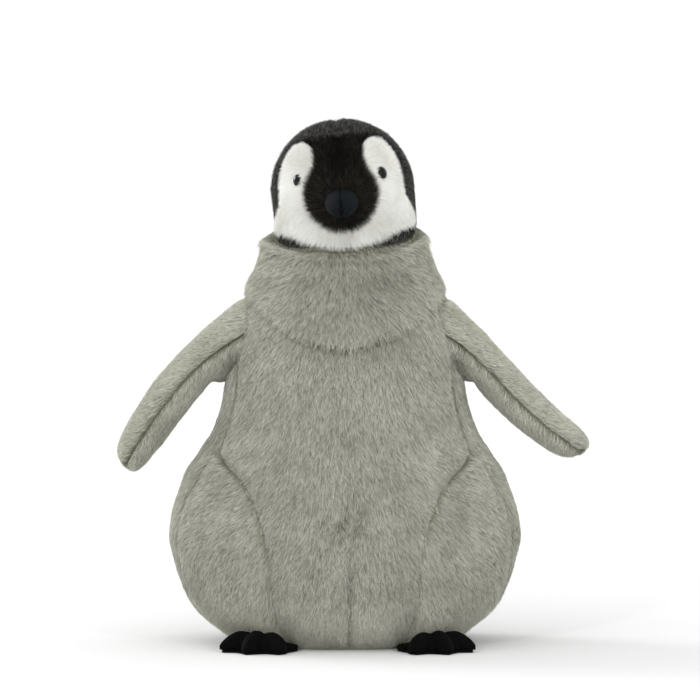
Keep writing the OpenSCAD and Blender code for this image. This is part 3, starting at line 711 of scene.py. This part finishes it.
def fine_grid(surface, step):
    """surface(u, v) on a grid of about `step` millimetres, u and v from 0 to 1."""
    rough = surface(*np.meshgrid(np.linspace(0, 1, 25), np.linspace(0, 1, 25), indexing="ij"))
    rows, cols = (fit_count(length, step) for length in grid_lengths(rough))
    return surface(*np.meshgrid(np.linspace(0, 1, rows), np.linspace(0, 1, cols), indexing="ij"))


COAT_BACK = 1.8     # depth of the mesh's inner side below the surface
TUFTS = dict(density=0.45, length=6.0, width=1.35, height=0.45)
HEAD_TUFTS = dict(TUFTS, density=0.6, length=4.5, width=1.1, height=0.4)
FACE_TUFTS = dict(TUFTS, density=0.8, length=3.5, width=1.0, height=0.35)
# A seam's depth, how far its slope reaches, how far its painted shade reaches, and the panels' overlap in it
SEAM_DEPTH, SEAM_WIDTH, SEAM_SHADE, SEAM_GAP = 1.3, 3.6, 5.0, -0.15


def coat(node, surface, flow, kind, fur, body, seed, step=0.6, tufts=TUFTS, loft=0.1, relief=None,
         lumps=0.5, mirrored=False, sewn_to=None, shade=None):
    """Makes the fur piece that stands for a CAD panel, and its hair.

    step is the mesh's grid, loft its height over the CAD's surface, and lumps the size of its soft swells.
    relief and shade give a change of height and of the pile's tone at each point; the tone change is painted
    light and shade, for the mesh and the hair.
    sewn_to names a body and two points: hair rooted nearer the first point rides on that body and the rest on
    body, and the mesh is left unattached.
    """
    rng = np.random.default_rng(seed)
    P = fine_grid(surface, step)
    if mirrored:
        P = P[:, ::-1]
    N = normals_of(P)
    F = flow(P)
    edge = border_distance(P)
    height, tone = stamp_tufts(P, N, F, rng=rng, **tufts)
    swell = loft + lumps * soft_noise(P, 42, 11) + 0.4 * lumps * soft_noise(P, 15, 12)
    if relief is not None:
        swell = swell + relief(P)
    inwards = ease(edge / SEAM_WIDTH)
    # Painted shade: the pile's tone darkens towards the panel's borders, down into its seams
    tone = tone * ease((edge + 0.6) / SEAM_SHADE)
    # Painted light and shade from the panel's shade function
    if shade is not None:
        tone = np.clip(tone + shade(P), 0, 1)
    skin = P + N * (swell * inwards - SEAM_DEPTH * (1 - inwards))[..., None]
    out = skin + N * (height * (0.35 + 0.65 * inwards))[..., None]
    inner = (P - N * COAT_BACK)[::INNER_STEP, ::INNER_STEP]
    points = np.concatenate([out.reshape(-1, 3), inner.reshape(-1, 3)])
    tones = np.concatenate([tone.reshape(-1), np.zeros(inner.shape[0] * inner.shape[1])])
    piece = mesh_object(node + "_fur", points, shell_faces(*P.shape[:2]), MATERIALS[kind],
                        attributes={"tone": tones})
    if sewn_to:
        still, start, end = sewn_to
        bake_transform(piece)
    else:
        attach(piece, body)
    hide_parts(node)
    pts, radius, tones = strands(skin, N, F, fur, rng)
    # The same painted light and shade go into the hair's tones
    if shade is not None:
        tones = np.clip(tones + shade(pts[:, 0]), 0, 1)
    if sewn_to:
        along = (pts[:, 0] - start) @ (end - start) / ((end - start) @ (end - start))
        for name, mine, moves in (("_root_hair", along < 0.5, still), ("_hair", along >= 0.5, body)):
            hair_object(node + name, pts[mine], radius[mine], tones[mine], HAIR[kind], moves)
    else:
        hair_object(node + "_hair", pts, radius, tones, HAIR[kind], body)


# ---- Body panels ----

def side_of(P):
    """Degrees from the front, negative towards -X."""
    return np.degrees(np.arctan2(P[..., 0], -P[..., 1]))


def down_and_round(side, share):
    """A flow down the body with a share of it sideways."""
    along = np.stack([cosd(side), sind(side), np.zeros_like(side)], -1) * share[..., None]
    return along + np.array([0, 0, -1.0])


def body_flow(P):
    """Down the body, fanning outwards in front and most on the thighs."""
    side = side_of(P)
    a = np.abs(side)
    thigh = 0.5 * bump((P[..., 2] - 78) / 34) * bump((a - 56) / 26)
    fan = 0.45 * np.clip(a / 40, 0, 1) * bump((a - 40) / 60) + thigh
    return down_and_round(side, np.sign(side) * fan + 0.14 * soft_noise(P, 60, 21))


def body_panel(low, high, left_edge, right_edge):
    """A surface between two levels and two seams, given as functions of the level."""
    def surface(u, v):
        level = mix(low, high, u)
        side = mix(left_edge(level), right_edge(level), v)
        return body_point(body_height(level, side), side)
    return surface


def seam_angle(z):
    """SEAM_GAP in degrees round the body."""
    return SEAM_GAP * 90 / (math.pi * BELLY_W * look(BODY, z) / 2)


def front_edge(z):
    """Edge of the front panel: the thigh's seam, and above it the side's."""
    side = look(SIDE_SEAM, z)
    return np.where(z < THIGH_TOP, np.minimum(look(THIGH_SEAM, z), side), side) - seam_angle(z)


DART_X, DART_TOP, WHORL_Z = 2.9, 60.0, 72.0


def front_relief(P):
    """The centre dart sewn into the lower belly, puckered at its top."""
    x, z = P[..., 0], P[..., 2]
    groove = -1.9 * bump((x - DART_X) / 2.0) * ease((DART_TOP + 4 - z) / 12)
    pucker = -1.1 * bump((x - DART_X) / 9) * bump((z - WHORL_Z) / 6)
    return groove + pucker


def painted_hem_light(P):
    """Painted light: paler at the hem."""
    return 0.42 * ease((40 - P[..., 2]) / 34)


def front_shade(P):
    """Painted shade in the dart, round its puckered top and under the collar, and painted light at the hem.
    """
    x, z = P[..., 0] - DART_X, P[..., 2]
    side = side_of(P)
    fold_shade = 0.18 * bump((look(COLLAR_FOOT, np.abs(side)) - z) / 9) * bump(side / 78)
    whorl_shade = 0.3 * bump(x / 11) * bump((z - WHORL_Z) / 8)
    dart_shade = 0.3 * bump(x / 1.8) * ease((DART_TOP - z) / 12)
    return painted_hem_light(P) - fold_shade - whorl_shade - dart_shade


def fringe(P):
    """Longer pile at the hem, over the feet."""
    return 1 + 0.7 * ease((14 - P[..., 2]) / 10)


def front_flow(P):
    """The body's flow, ruffled over the top of the dart."""
    x, z = P[..., 0] - DART_X, P[..., 2] - WHORL_Z
    ruffle = 1.6 * (bump(x / 13) * bump(z / 9) * soft_noise(P, 7, 25))[..., None]
    return body_flow(P) + ruffle * np.array([1.0, 0, 0.3])


def on_side(surface, side):
    """The surface, mirrored for the left side."""
    def placed(u, v):
        p = surface(u, v)
        p[..., 0] *= side
        return p
    return placed


def make_body():
    front = body_panel(BODY_LOW, BODY_TOP, lambda z: -front_edge(z), front_edge)
    thigh = body_panel(BODY_LOW, THIGH_TOP - 2.5, lambda z: look(THIGH_SEAM, z) + seam_angle(z),
                       lambda z: look(SIDE_SEAM, z) - seam_angle(z))
    back = body_panel(BODY_LOW, BODY_TOP, lambda z: look(SIDE_SEAM, z) + seam_angle(z),
                      lambda z: 180 - seam_angle(z))
    fur = dict(BODY_FUR, scale=fringe)
    coat("front_panel", front, front_flow, "grey_plush", fur, "body", 1, relief=front_relief,
         shade=front_shade)
    for name, side, seed in (("left", -1, 2), ("right", 1, 3)):
        coat("thigh_panel_" + name, on_side(thigh, side), body_flow, "grey_plush", fur, "body", seed,
             loft=0.6, mirrored=side < 0, shade=painted_hem_light)
        coat("back_panel_" + name, on_side(back, side), body_flow, "grey_plush", fur, "body", seed + 2,
             step=0.75, mirrored=side < 0, shade=painted_hem_light)


# ---- Collar ----

COLLAR_CLEAR = HEAD_R + NECK_GAP + 2.2      # the collar keeps this far from the neck's middle
COLLAR_CLOSE = HEAD_R + 2.9                 # and its rim curls in to this
CURL_FROM = 0.86


def collar_surface(u, v):
    """From the lower edge over the chest (u = 0) to the rim (1), which is lower on the left."""
    side = mix(-179.7, 179.7, v)
    a = np.abs(side)
    uneven = np.where(side < 0, -2.4 * bump((a - 60) / 30), 3.0 * bump((a - 100) / 26))
    z = mix(look(COLLAR_FOOT, a) + SEAM_GAP, look(COLLAR_RIM, a) + uneven, u)
    lift = COLLAR_LIFT * (1 - u) ** 2 * (0.35 + 0.65 * bump(a / 60))
    p = body_point(z, side, -lift)
    rise = (p[..., 2] - NECK_Z) ** 2
    clear = np.sqrt(np.maximum(0, COLLAR_CLEAR**2 - rise))
    flat = np.linalg.norm(p[..., :2], axis=-1)
    p[..., :2] *= np.where(flat < clear, clear / flat, 1)[..., None]
    close = np.sqrt(np.maximum(1, COLLAR_CLOSE**2 - rise))
    flat = np.linalg.norm(p[..., :2], axis=-1)
    p[..., :2] *= mix(1, np.minimum(1, close / flat), ease((u - CURL_FROM) / (1 - CURL_FROM)))[..., None]
    return p


def collar_flow(P):
    """Down from the chin, fanning to the shoulders."""
    side = side_of(P)
    fan = 0.85 * np.clip(np.abs(side) / 55, 0, 1) * bump((np.abs(side) - 45) / 60)
    return down_and_round(side, np.sign(side) * fan + 0.25 * soft_noise(P, 34, 22))


def collar_shade(P):
    """In front: painted light along the lower edge, darker to the right of the middle, and a little darker
    all over.
    """
    x, z = P[..., 0], P[..., 2]
    brim_light = 0.06 * bump((z - look(COLLAR_FOOT, np.abs(side_of(P))) - 4) / 9)
    patch = 0.26 * bump((x - 20) / 24) * bump((z - 208) / 14)
    return ease(-P[..., 1] / 30) * (brim_light - patch - 0.05)


def make_collar():
    coat("neck_collar", collar_surface, collar_flow, "grey_plush", COLLAR_FUR, "body", 8, loft=0.3, lumps=0.9,
         shade=collar_shade)


# ---- Head ----
BEAK_AT = np.array([0, -(HEAD_R + MUZZLE_OUT - BEAK_SINK), BEAK_Z])
HEAD_EDGE = SEAM_GAP * 180 / (math.pi * HEAD_R)     # SEAM_GAP in degrees round the head


def head_panel(top, bottom, first, last, side):
    """A surface between two rows and two edges; rows climb, and the left one is mirrored."""
    def surface(u, v):
        t = mix(bottom, top, u)
        angle = mix(first(t), last(t), v)
        p = head_point(chin_row(t, side * angle), angle)
        p[..., 0] *= side
        return head_place(p)
    return surface


def unplaced(P):
    """Points before the head's lean and turn."""
    return (P - NECK) @ HEAD_TURN + NECK


def placed_way(F):
    """Directions after the head's lean and turn."""
    return F @ HEAD_TURN.T


def mask_flow(P):
    """Out from the beak on every side."""
    q = unplaced(P)
    return placed_way(unit(q - BEAK_AT) + np.array([0, 0.2, 0]))


def cheek_flow(P):
    """Away from the muzzle, round the cheek and down."""
    q = unplaced(P)
    return placed_way(0.8 * unit(q - BEAK_AT) + np.array([0, 0.35, -0.55]))


def crown_flow(P):
    """Up the brow, back over the crown and down behind."""
    q = unplaced(P) - np.array([0, 0, 255])
    over = np.cross(q, np.array([1.0, 0, 0])) / HEAD_R
    return placed_way(over + np.array([0, 0.35, -0.7]) * np.abs(q[..., :1]) / HEAD_R)


def band_flow(P):
    """Down, a little unevenly."""
    return np.array([0, 0, -1.0]) + 0.2 * soft_noise(P, 30, 23)[..., None]


def brow_shade(P):
    """Painted shade: darker up the brow, darkest along the middle seam above the beak."""
    q = unplaced(P)
    high = ease((q[..., 2] - BEAK_Z - 6) / 14)
    return high * (-0.22 - 0.3 * bump(q[..., 0] / 4.5))


def chin_length(P):
    """Longer pile low on the head."""
    return 1 + 0.6 * ease((244 - P[..., 2]) / 12)


def middle_edge(t):
    """HEAD_EDGE at row t, where the rows get shorter towards the top of the head."""
    return HEAD_EDGE / np.maximum(0.05, sind(np.minimum(t, 90)))


def crown_edge(t):
    """Front edge of the crown: the middle of the head, and below the mask's top the cheek."""
    return np.where(t < MASK_TOP, middle_edge(t), np.minimum(92, look(CHEEK_EDGE, t) + HEAD_EDGE * 1.6))


def mask_edge(t):
    return np.maximum(2 * HEAD_EDGE, look(MASK_EDGE, t) - HEAD_EDGE)


def cheek_front(t):
    """Front edge of the cheek: the mask, and below the muzzle the middle of the head."""
    return np.where(t > MUZZLE_END - 0.5, HEAD_EDGE, look(MASK_EDGE, t) + HEAD_EDGE)


def neck_band_surface(u, v):
    side = mix(-179.6, 179.6, v)
    top = look(CHIN_EDGE, np.abs(side)) - chin_lift(side) + HEAD_EDGE
    return head_place(head_point(mix(BAND_END, top, u), side))


def make_head():
    cheek_fur = dict(CHEEK_FUR, scale=chin_length)
    crown_fur = dict(CROWN_FUR, scale=chin_length)
    for name, side, seed in (("left", -1, 20), ("right", 1, 30)):
        crown = head_panel(1.5, 122, crown_edge, lambda t: 180 - middle_edge(t), side)
        mask = head_panel(MASK_TOP, MUZZLE_END - 1, lambda t: HEAD_EDGE, mask_edge, side)
        cheek = head_panel(CHEEK_TOP, 121.8, cheek_front, lambda t: look(CHEEK_EDGE, t) - HEAD_EDGE, side)
        flip = side < 0
        coat("crown_panel_" + name, crown, crown_flow, "black_plush", crown_fur, "head", seed, step=0.5,
             tufts=HEAD_TUFTS, mirrored=flip)
        coat("face_mask_" + name, mask, mask_flow, "mask_plush", MASK_FUR, "head", seed + 1, step=0.4,
             tufts=FACE_TUFTS, loft=0.7, lumps=0.3, mirrored=flip, shade=brow_shade)
        coat("cheek_panel_" + name, cheek, cheek_flow, "white_plush", cheek_fur, "head", seed + 2, step=0.4,
             tufts=FACE_TUFTS, loft=0.7, lumps=0.3, mirrored=flip)
    coat("neck_band", neck_band_surface, band_flow, "black_plush", CROWN_FUR, "head", 40, tufts=HEAD_TUFTS,
         step=0.7)


# ---- Eyes: the row and side of the head they sit at, and the way they look ----
EYE_ROW, EYE_SIDE, EYE_LOOK, EYE_SINK = 79.0, 37.0, 52.0, 0.4
EYE_COLS = 64
SHANK_R, SHANK_L, SHANK_RIBS = 1.5, 11.0, 12


def eye_profile():
    """Radius, height and how far out on the dome, from the top of the dome down to the end of the shank."""
    dome_r = (EYE_D**2 / 4 + EYE_DOME**2) / (2 * EYE_DOME)
    edge = math.degrees(math.asin(EYE_D / 2 / dome_r))
    rows = [(dome_r * sind(a), EYE_DOME - dome_r * (1 - cosd(a)), dome_r * sind(a) / (EYE_D / 2))
            for a in np.linspace(0.6, edge, 28)]
    rows += [(EYE_D / 2, -0.2, 1.0), (EYE_D / 2 - 0.2, -EYE_SINK, 1.0), (SHANK_R, -EYE_SINK, 1.0)]
    for k in range(SHANK_RIBS):
        z = -EYE_SINK - (k + 0.5) * (SHANK_L - EYE_SINK) / SHANK_RIBS
        rows += [(SHANK_R - 0.15, z - 0.2, 1.0), (SHANK_R, z + 0.2, 1.0)][::-1]
    rows.append((0.05, -SHANK_L, 1.0))
    return np.array(rows)


def make_eyes():
    rows = eye_profile()[::-1]
    a = np.linspace(0, 2 * math.pi, EYE_COLS, endpoint=False)
    local = np.stack(np.broadcast_arrays(rows[:, :1] * np.cos(a), rows[:, :1] * np.sin(a), rows[:, 1:2]), -1)
    rim = np.arange(EYE_COLS)
    faces = [grid_quads(len(rows), EYE_COLS, wrap=True), rim[None, ::-1],
             rim[None, :] + (len(rows) - 1) * EYE_COLS]
    for name, side in SIDES:
        p = local @ (turn("z", EYE_LOOK) @ turn("x", 90)).T + head_point(EYE_ROW, EYE_SIDE)
        p[..., 0] *= side
        p = head_place(p)
        if side < 0:
            p = p[:, ::-1]
        piece = mesh_object("eye_dome_" + name, p.reshape(-1, 3), faces, MATERIALS["eye_plastic"],
                            attributes={"tone": np.repeat(rows[:, 2], EYE_COLS)})
        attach(piece, "head")
        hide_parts("eye_" + name)


# ---- Beak ----

def beak_surface(t, a):
    """A point of the blunt cone: t from its root (0) to the tip (90), a round it from +Z (0) to -Z (180)."""
    k = np.maximum(cosd(t), 0.0) ** 0.8
    return np.stack(np.broadcast_arrays(BEAK_W * k * sind(a), -BEAK_L * sind(t), BEAK_H * k * cosd(a)), -1)


WALE = 0.95                                     # width of one column of knit stitches
STITCH_HOLES = (-4.1, -2.05, 0.0, 2.05, 4.1)    # heights of the holes along the seam


def make_beak():
    """Two knitted halves that meet in a stitched seam over the tip."""
    rows, cols = 85, 97
    t = np.linspace(0, 89.6, rows)[:, None]
    a = np.linspace(180.0, 0.0, cols)[None, :]
    P = beak_surface(t, a)
    wale = (np.abs(((a - 90) / 180 * math.pi * BEAK_H) / WALE) % 1) - 0.5
    course = (BEAK_L * sind(t) / (WALE * 0.8) + 0.6 * np.abs(wale)) % 1
    knit = (1 - 4 * wale**2) * (1 - 0.7 * (2 * course - 1) ** 2)
    seam = bump(P[..., 0] / 0.9)
    holes = sum(bump(P[..., 0] / 0.55) * bump((P[..., 2] - z) / 0.5) * (t > 45) for z in STITCH_HOLES)
    height = 0.16 * knit * (1 - seam) - 0.35 * seam - 0.5 * holes + 0.15
    # Painted shade: darker between the stitches, along the seam and in the holes
    tone = np.clip(0.25 + 0.75 * knit - 0.5 * seam - holes, 0, 1)
    N = normals_of(P)
    outer = P + N * height[..., None]
    inner = (P - N * 0.6)[::INNER_STEP, ::INNER_STEP]
    tones = np.concatenate([tone.reshape(-1), np.zeros(inner.shape[0] * inner.shape[1])])
    half = np.concatenate([outer.reshape(-1, 3), inner.reshape(-1, 3)]) @ turn("x", BEAK_DROOP).T + BEAK_AT
    for name, side in SIDES:
        faces = shell_faces(rows, cols)
        if side < 0:
            faces = [f[:, ::-1] for f in faces]
        piece = mesh_object("beak_jersey_" + name, head_place(half * [side, 1, 1]), faces,
                            MATERIALS["beak_jersey"], attributes={"tone": tones})
        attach(piece, "head")
        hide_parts("beak_cover_" + name)


# ---- Wings and tail ----

SLEEVE, SLEEVE_END = 30.0, 26.0     # length of the sleeve, and where on the wing it ends
ARMHOLE_Z, ARMHOLE_HALF, ARMHOLE_DEPTH, ARMHOLE_SINK = 174.0, 23.0, 27.0, 1.5
TUBE_END = 0.998                    # share of a tube's length that its panels cover


def panel_angle(top, v):
    """Degrees round a tube for its upper or lower panel, just short of the seams."""
    return mix(179.2, 0.8, v) if top else mix(-0.8, -179.2, v)


def armhole(a):
    """The oval on the body's side, a little under its fur, that the wing is sewn to."""
    z = ARMHOLE_Z + ARMHOLE_HALF * sind(a) + 5 * cosd(a)
    y = -ARMHOLE_DEPTH * cosd(a)
    power = look(ROUNDNESS, z)
    across = BELLY_W * look(BODY, z, 1)
    along = np.where(y < 0, BELLY_FRONT * look(BODY, z, 2), BELLY_BACK * look(BODY, z, 3))
    c = np.minimum(0.98, np.abs(y) / along) ** (1 / power)
    return np.stack([across * np.sqrt(1 - c**2) ** power - ARMHOLE_SINK, y, z], -1)


def wing_surface(side, top):
    """The wing's tube, with a sleeve in front of it that widens to the armhole."""
    swing = turn("y", WING_DROOP[side])
    joint = np.array([SHOULDER_X, 0, SHOULDER_Z])

    def tube(s, a):
        return tube_point(WING, s, a, WING_L, WING_H, WING_W, WING_ROOT, WING_BEND[side]) @ swing.T + joint

    def surface(u, v):
        a = panel_angle(top, v)
        d = u * (SLEEVE + WING_L * TUBE_END - SLEEVE_END)
        s = np.maximum(SLEEVE_END, SLEEVE_END + d - SLEEVE)
        t = np.clip(d / SLEEVE, 0, 1)[..., None]
        end = tube(np.full_like(s, SLEEVE_END), a)
        ahead = (tube(np.full_like(s, SLEEVE_END + 1), a) - end) * SLEEVE
        leave = np.array([0.9, 0, -0.25]) * SLEEVE * 0.9
        sleeve = ((2 * t**3 - 3 * t**2 + 1) * armhole(a) + (t**3 - 2 * t**2 + t) * leave
                  + (3 * t**2 - 2 * t**3) * end + (t**3 - t**2) * ahead)
        return np.where(t < 1, sleeve, tube(s, a))
    return on_side(surface, side)


def wing_flow(side, top):
    """Along the wing, and away from the seam on its front edge."""
    swing = turn("y", WING_DROOP[side])
    out, up = swing @ np.array([1.0, 0, 0]), swing @ np.array([0, 0, 1.0])

    def flow(P):
        sway = 0.12 * soft_noise(P, 26, 24)[..., None] * np.array([0, 1, 0])
        away = (0.7 * up if top else -0.9 * up) + np.array([0, 0.35, 0])
        near_front = ease((10 - P[..., 1:2]) / 25)
        return (out + away * near_front) * [side, 1, 1] + sway
    return flow


def wing_shade(P):
    """Paler all over, with painted shade where the wing comes out of the armhole, below its front."""
    return 0.14 - 0.6 * bump((np.abs(P[..., 0]) - 63) / 5) * ease((174 - P[..., 2]) / 14)


def make_wings():
    for name, side, seed in (("left", -1, 50), ("right", 1, 60)):
        start = np.array([side * 60.0, 0, 178.0])
        end = np.array([side * 90.0, 0, 158.0])
        for part, top in (("outer", True), ("inner", False)):
            coat("wing_" + part + "_" + name, wing_surface(side, top), wing_flow(side, top), "grey_plush",
                 WING_FUR, "wing_" + name, seed + top, step=0.5, mirrored=side < 0,
                 sewn_to=("body", start, end), shade=wing_shade)


TAIL_TURN = turn("x", -TAIL_DROOP) @ turn("z", 90)


def tail_surface(top):
    def surface(u, v):
        s = mix(-TAIL_ROOT * 0.97, TAIL_L * TUBE_END, 1 - (1 - u) ** 1.15)
        p = tube_point(TAIL, s, panel_angle(top, v), TAIL_L, TAIL_H, TAIL_W, TAIL_ROOT, 0.0)
        return p @ TAIL_TURN.T + np.array([0, TAIL_Y, TAIL_Z])
    return surface


def tail_flow(P):
    """Straight along the tail."""
    return np.broadcast_to(TAIL_TURN @ np.array([1.0, 0, 0]), P.shape)


def make_tail():
    for part, top in (("upper", True), ("lower", False)):
        coat("tail_" + part, tail_surface(top), tail_flow, "grey_plush", WING_FUR, "tail", 70 + top,
             step=0.45)


# ---- Feet ----
SOLE_TOP, FOOT_LIFT = 1.5, 0.3


def foot_outline(a):
    """Reach of the foot's edge, a in degrees from straight ahead."""
    front = np.hypot(FOOT_SIDE * sind(a), (FOOT_REACH - TOE_OUT) * cosd(a))
    rear = np.hypot(FOOT_SIDE * sind(a), FOOT_REAR * cosd(a))
    toes = bump(a / TOE_WIDTH) + bump((a + TOE_SPLAY) / TOE_WIDTH) + bump((a - TOE_SPLAY) / TOE_WIDTH)
    return np.where(cosd(a) > 0, front, rear) + TOE_OUT * toes


def foot_surface(k, a):
    """A point of the upper, fuller at the toes than the CAD's: k from the middle (0) to the edge (1)."""
    r = foot_outline(a) * k
    y = -r * cosd(a)
    dome = np.maximum(0, 1 - k**2.6) ** 0.5 * (0.35 + 0.65 * ease((2 - y) / 14))
    toes = (1 - 0.12 * ease(-y / 22)) * (1 + 0.32 * ease((-y - 4) / 9))
    return np.stack([r * sind(a), y, SOLE_TOP + FOOT_H * dome * toes], -1)


def make_feet():
    rows, cols = 60, 200
    k = np.linspace(1.0, 0.01, rows)[:, None] ** 0.8
    a = np.linspace(0, 360, cols, endpoint=False)[None, :]
    a = np.where(a > 180, a - 360, a)
    P = foot_surface(np.broadcast_to(k, (rows, cols)), np.broadcast_to(a, (rows, cols)))
    creases = sum(bump((a - c) / 6) * ease((k - 0.3) / 0.3) for c in (-TOE_SPLAY / 2, TOE_SPLAY / 2))
    N = unit(P - np.array([0, 0, -6.0]))
    outer = P + N * (0.3 * soft_noise(P, 8, 31) + 0.35 - 1.1 * creases)[..., None]
    outer[0] = P[0]
    inner = P - N * 0.25
    inner[..., 2] = np.maximum(inner[..., 2], SOLE_TOP + 0.1)
    foot = np.concatenate([outer.reshape(-1, 3), inner.reshape(-1, 3)]) @ turn("z", FOOT_TURN).T
    n = rows * cols
    rim = np.arange(cols)
    nxt = (rim + 1) % cols
    shell = [grid_quads(rows, cols, wrap=True), grid_quads(rows, cols, n, wrap=True, flip=True),
             np.stack([nxt, rim, n + rim, n + nxt], -1),
             ((rows - 1) * cols + rim)[None, :], (n + (rows - 1) * cols + rim)[None, ::-1]]
    for name, side in SIDES:
        points = (foot + np.array([FOOT_X[side], -FOOT_Y, FOOT_LIFT])) * [side, 1, 1]
        faces = [f[:, ::-1] for f in shell] if side < 0 else shell
        piece = mesh_object("foot_suede_" + name, points, faces, MATERIALS["foot_suede"])
        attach(piece, "foot_" + name)
        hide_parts("foot_upper_" + name)


# ---- CAD nodes that stay as they are, with their finish ----
KEPT = {
    "base_panel": "grey_plush", "pellet_pouch": "pouch_lining", "pellet_fill": "plastic_pellets",
    "closing_stitches": "sewing_thread", "neck_wad": "polyester_fibre",
    **{stuffed + "_stuffing": "polyester_fibre" for stuffed in ("body", "head", "beak", "tail")},
}
for _side, _ in SIDES:
    KEPT.update({"eye_washer_" + _side: "washer_plastic", "wing_stuffing_" + _side: "polyester_fibre",
                 "foot_sole_" + _side: "foot_suede", "foot_stuffing_" + _side: "polyester_fibre"})


def finish_kept_nodes():
    """Gives each carried-over CAD node its material."""
    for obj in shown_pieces():
        node = obj.get("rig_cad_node")
        if node in KEPT:
            obj.data.materials.clear()
            obj.data.materials.append(MATERIALS[KEPT[node]])


# ---- Stage: floor, light and camera ----

# Metres from here on, but for the floor's half side, in millimetres.
# Camera: degrees above level, distance, width of the view and of the sensor, and the point looked at
CAMERA_UP, CAMERA_FAR, VIEW_WIDTH, SENSOR = 3.0, 3.2, 0.399, 36.0
LOOK_AT = Vector((0.00285, 0, 0.1668))
FLOOR_HALF = 200000.0
WORLD_LIGHT = 1.11
# Square lights: place, point aimed at, size and watts
LIGHTS = {
    "key": ((-0.35, -1.1, 1.9), (0, 0, 0.15), 1.4, 6.0),
    "fill": ((0.2, -1.6, 0.12), (0, 0, 0.05), 0.8, 4.6),
    "rim_left": ((-1.2, 0.7, 0.7), (0, 0, 0.12), 0.6, 12.0),
    "rim_right": ((1.2, 0.7, 0.7), (0, 0, 0.12), 0.6, 2.0),
    "glint_left": ((-0.55, -1.45, 0.62), (0, 0, 0.26), 0.12, 6.5),
    "glint_right": ((0.75, -1.35, 0.55), (0, 0, 0.26), 0.11, 4.5),
}


def area_light(name, at, towards, size, power):
    data = bpy.data.lights.new(name, "AREA")
    data.shape = "RECTANGLE"
    data.size = data.size_y = size
    data.energy = power
    obj = link(bpy.data.objects.new(name, data))
    obj.location = at
    obj.rotation_euler = (Vector(towards) - Vector(at)).to_track_quat("-Z", "Y").to_euler()


def floor_material():
    """Pale, with a painted shadow: darker round the toy than far away."""
    floor = Nodes("pale_floor")
    away = floor.add("ShaderNodeVectorMath", operation="LENGTH")
    floor.join(floor.place(), away.inputs[0])
    half = floor.add("ShaderNodeMath", operation="MULTIPLY")
    half.inputs[1].default_value = 0.5
    floor.join(away.outputs["Value"], half.inputs[0])
    # Painted shadow: albedo 0.66 near the toy, 0.97 far away
    floor.colour(floor.ramp(half.outputs[0], [(0.1, 0.66), (0.9, 0.97)]))
    floor.set(Roughness=1.0, Specular_IOR_Level=0.0)
    return floor.material


def make_stage():
    corners = np.array([[-1, -1, 0], [1, -1, 0], [1, 1, 0], [-1, 1, 0]]) * FLOOR_HALF
    mesh_object("floor", corners, [np.array([[0, 1, 2, 3]])], floor_material(), smooth=False)
    world = bpy.data.worlds.new("studio")
    world.use_nodes = True
    sky = world.node_tree.nodes["Background"]
    sky.inputs["Color"].default_value = (1, 1, 1, 1)
    sky.inputs["Strength"].default_value = WORLD_LIGHT
    bpy.context.scene.world = world
    for name, values in LIGHTS.items():
        area_light(name, *values)
    camera = bpy.data.cameras.new("camera")
    camera.sensor_width = SENSOR
    camera.lens = SENSOR * CAMERA_FAR / VIEW_WIDTH
    obj = link(bpy.data.objects.new("camera", camera))
    back = Vector((0, -math.cos(math.radians(CAMERA_UP)), math.sin(math.radians(CAMERA_UP))))
    obj.location = LOOK_AT + back * CAMERA_FAR
    obj.rotation_mode = "QUATERNION"
    obj.rotation_quaternion = (-back).to_track_quat("-Z", "Y")
    bpy.context.scene.camera = obj
    bpy.context.scene.view_settings.view_transform = "Standard"


make_body()
make_collar()
make_head()
make_eyes()
make_beak()
make_wings()
make_tail()
make_feet()
finish_kept_nodes()
make_stage()
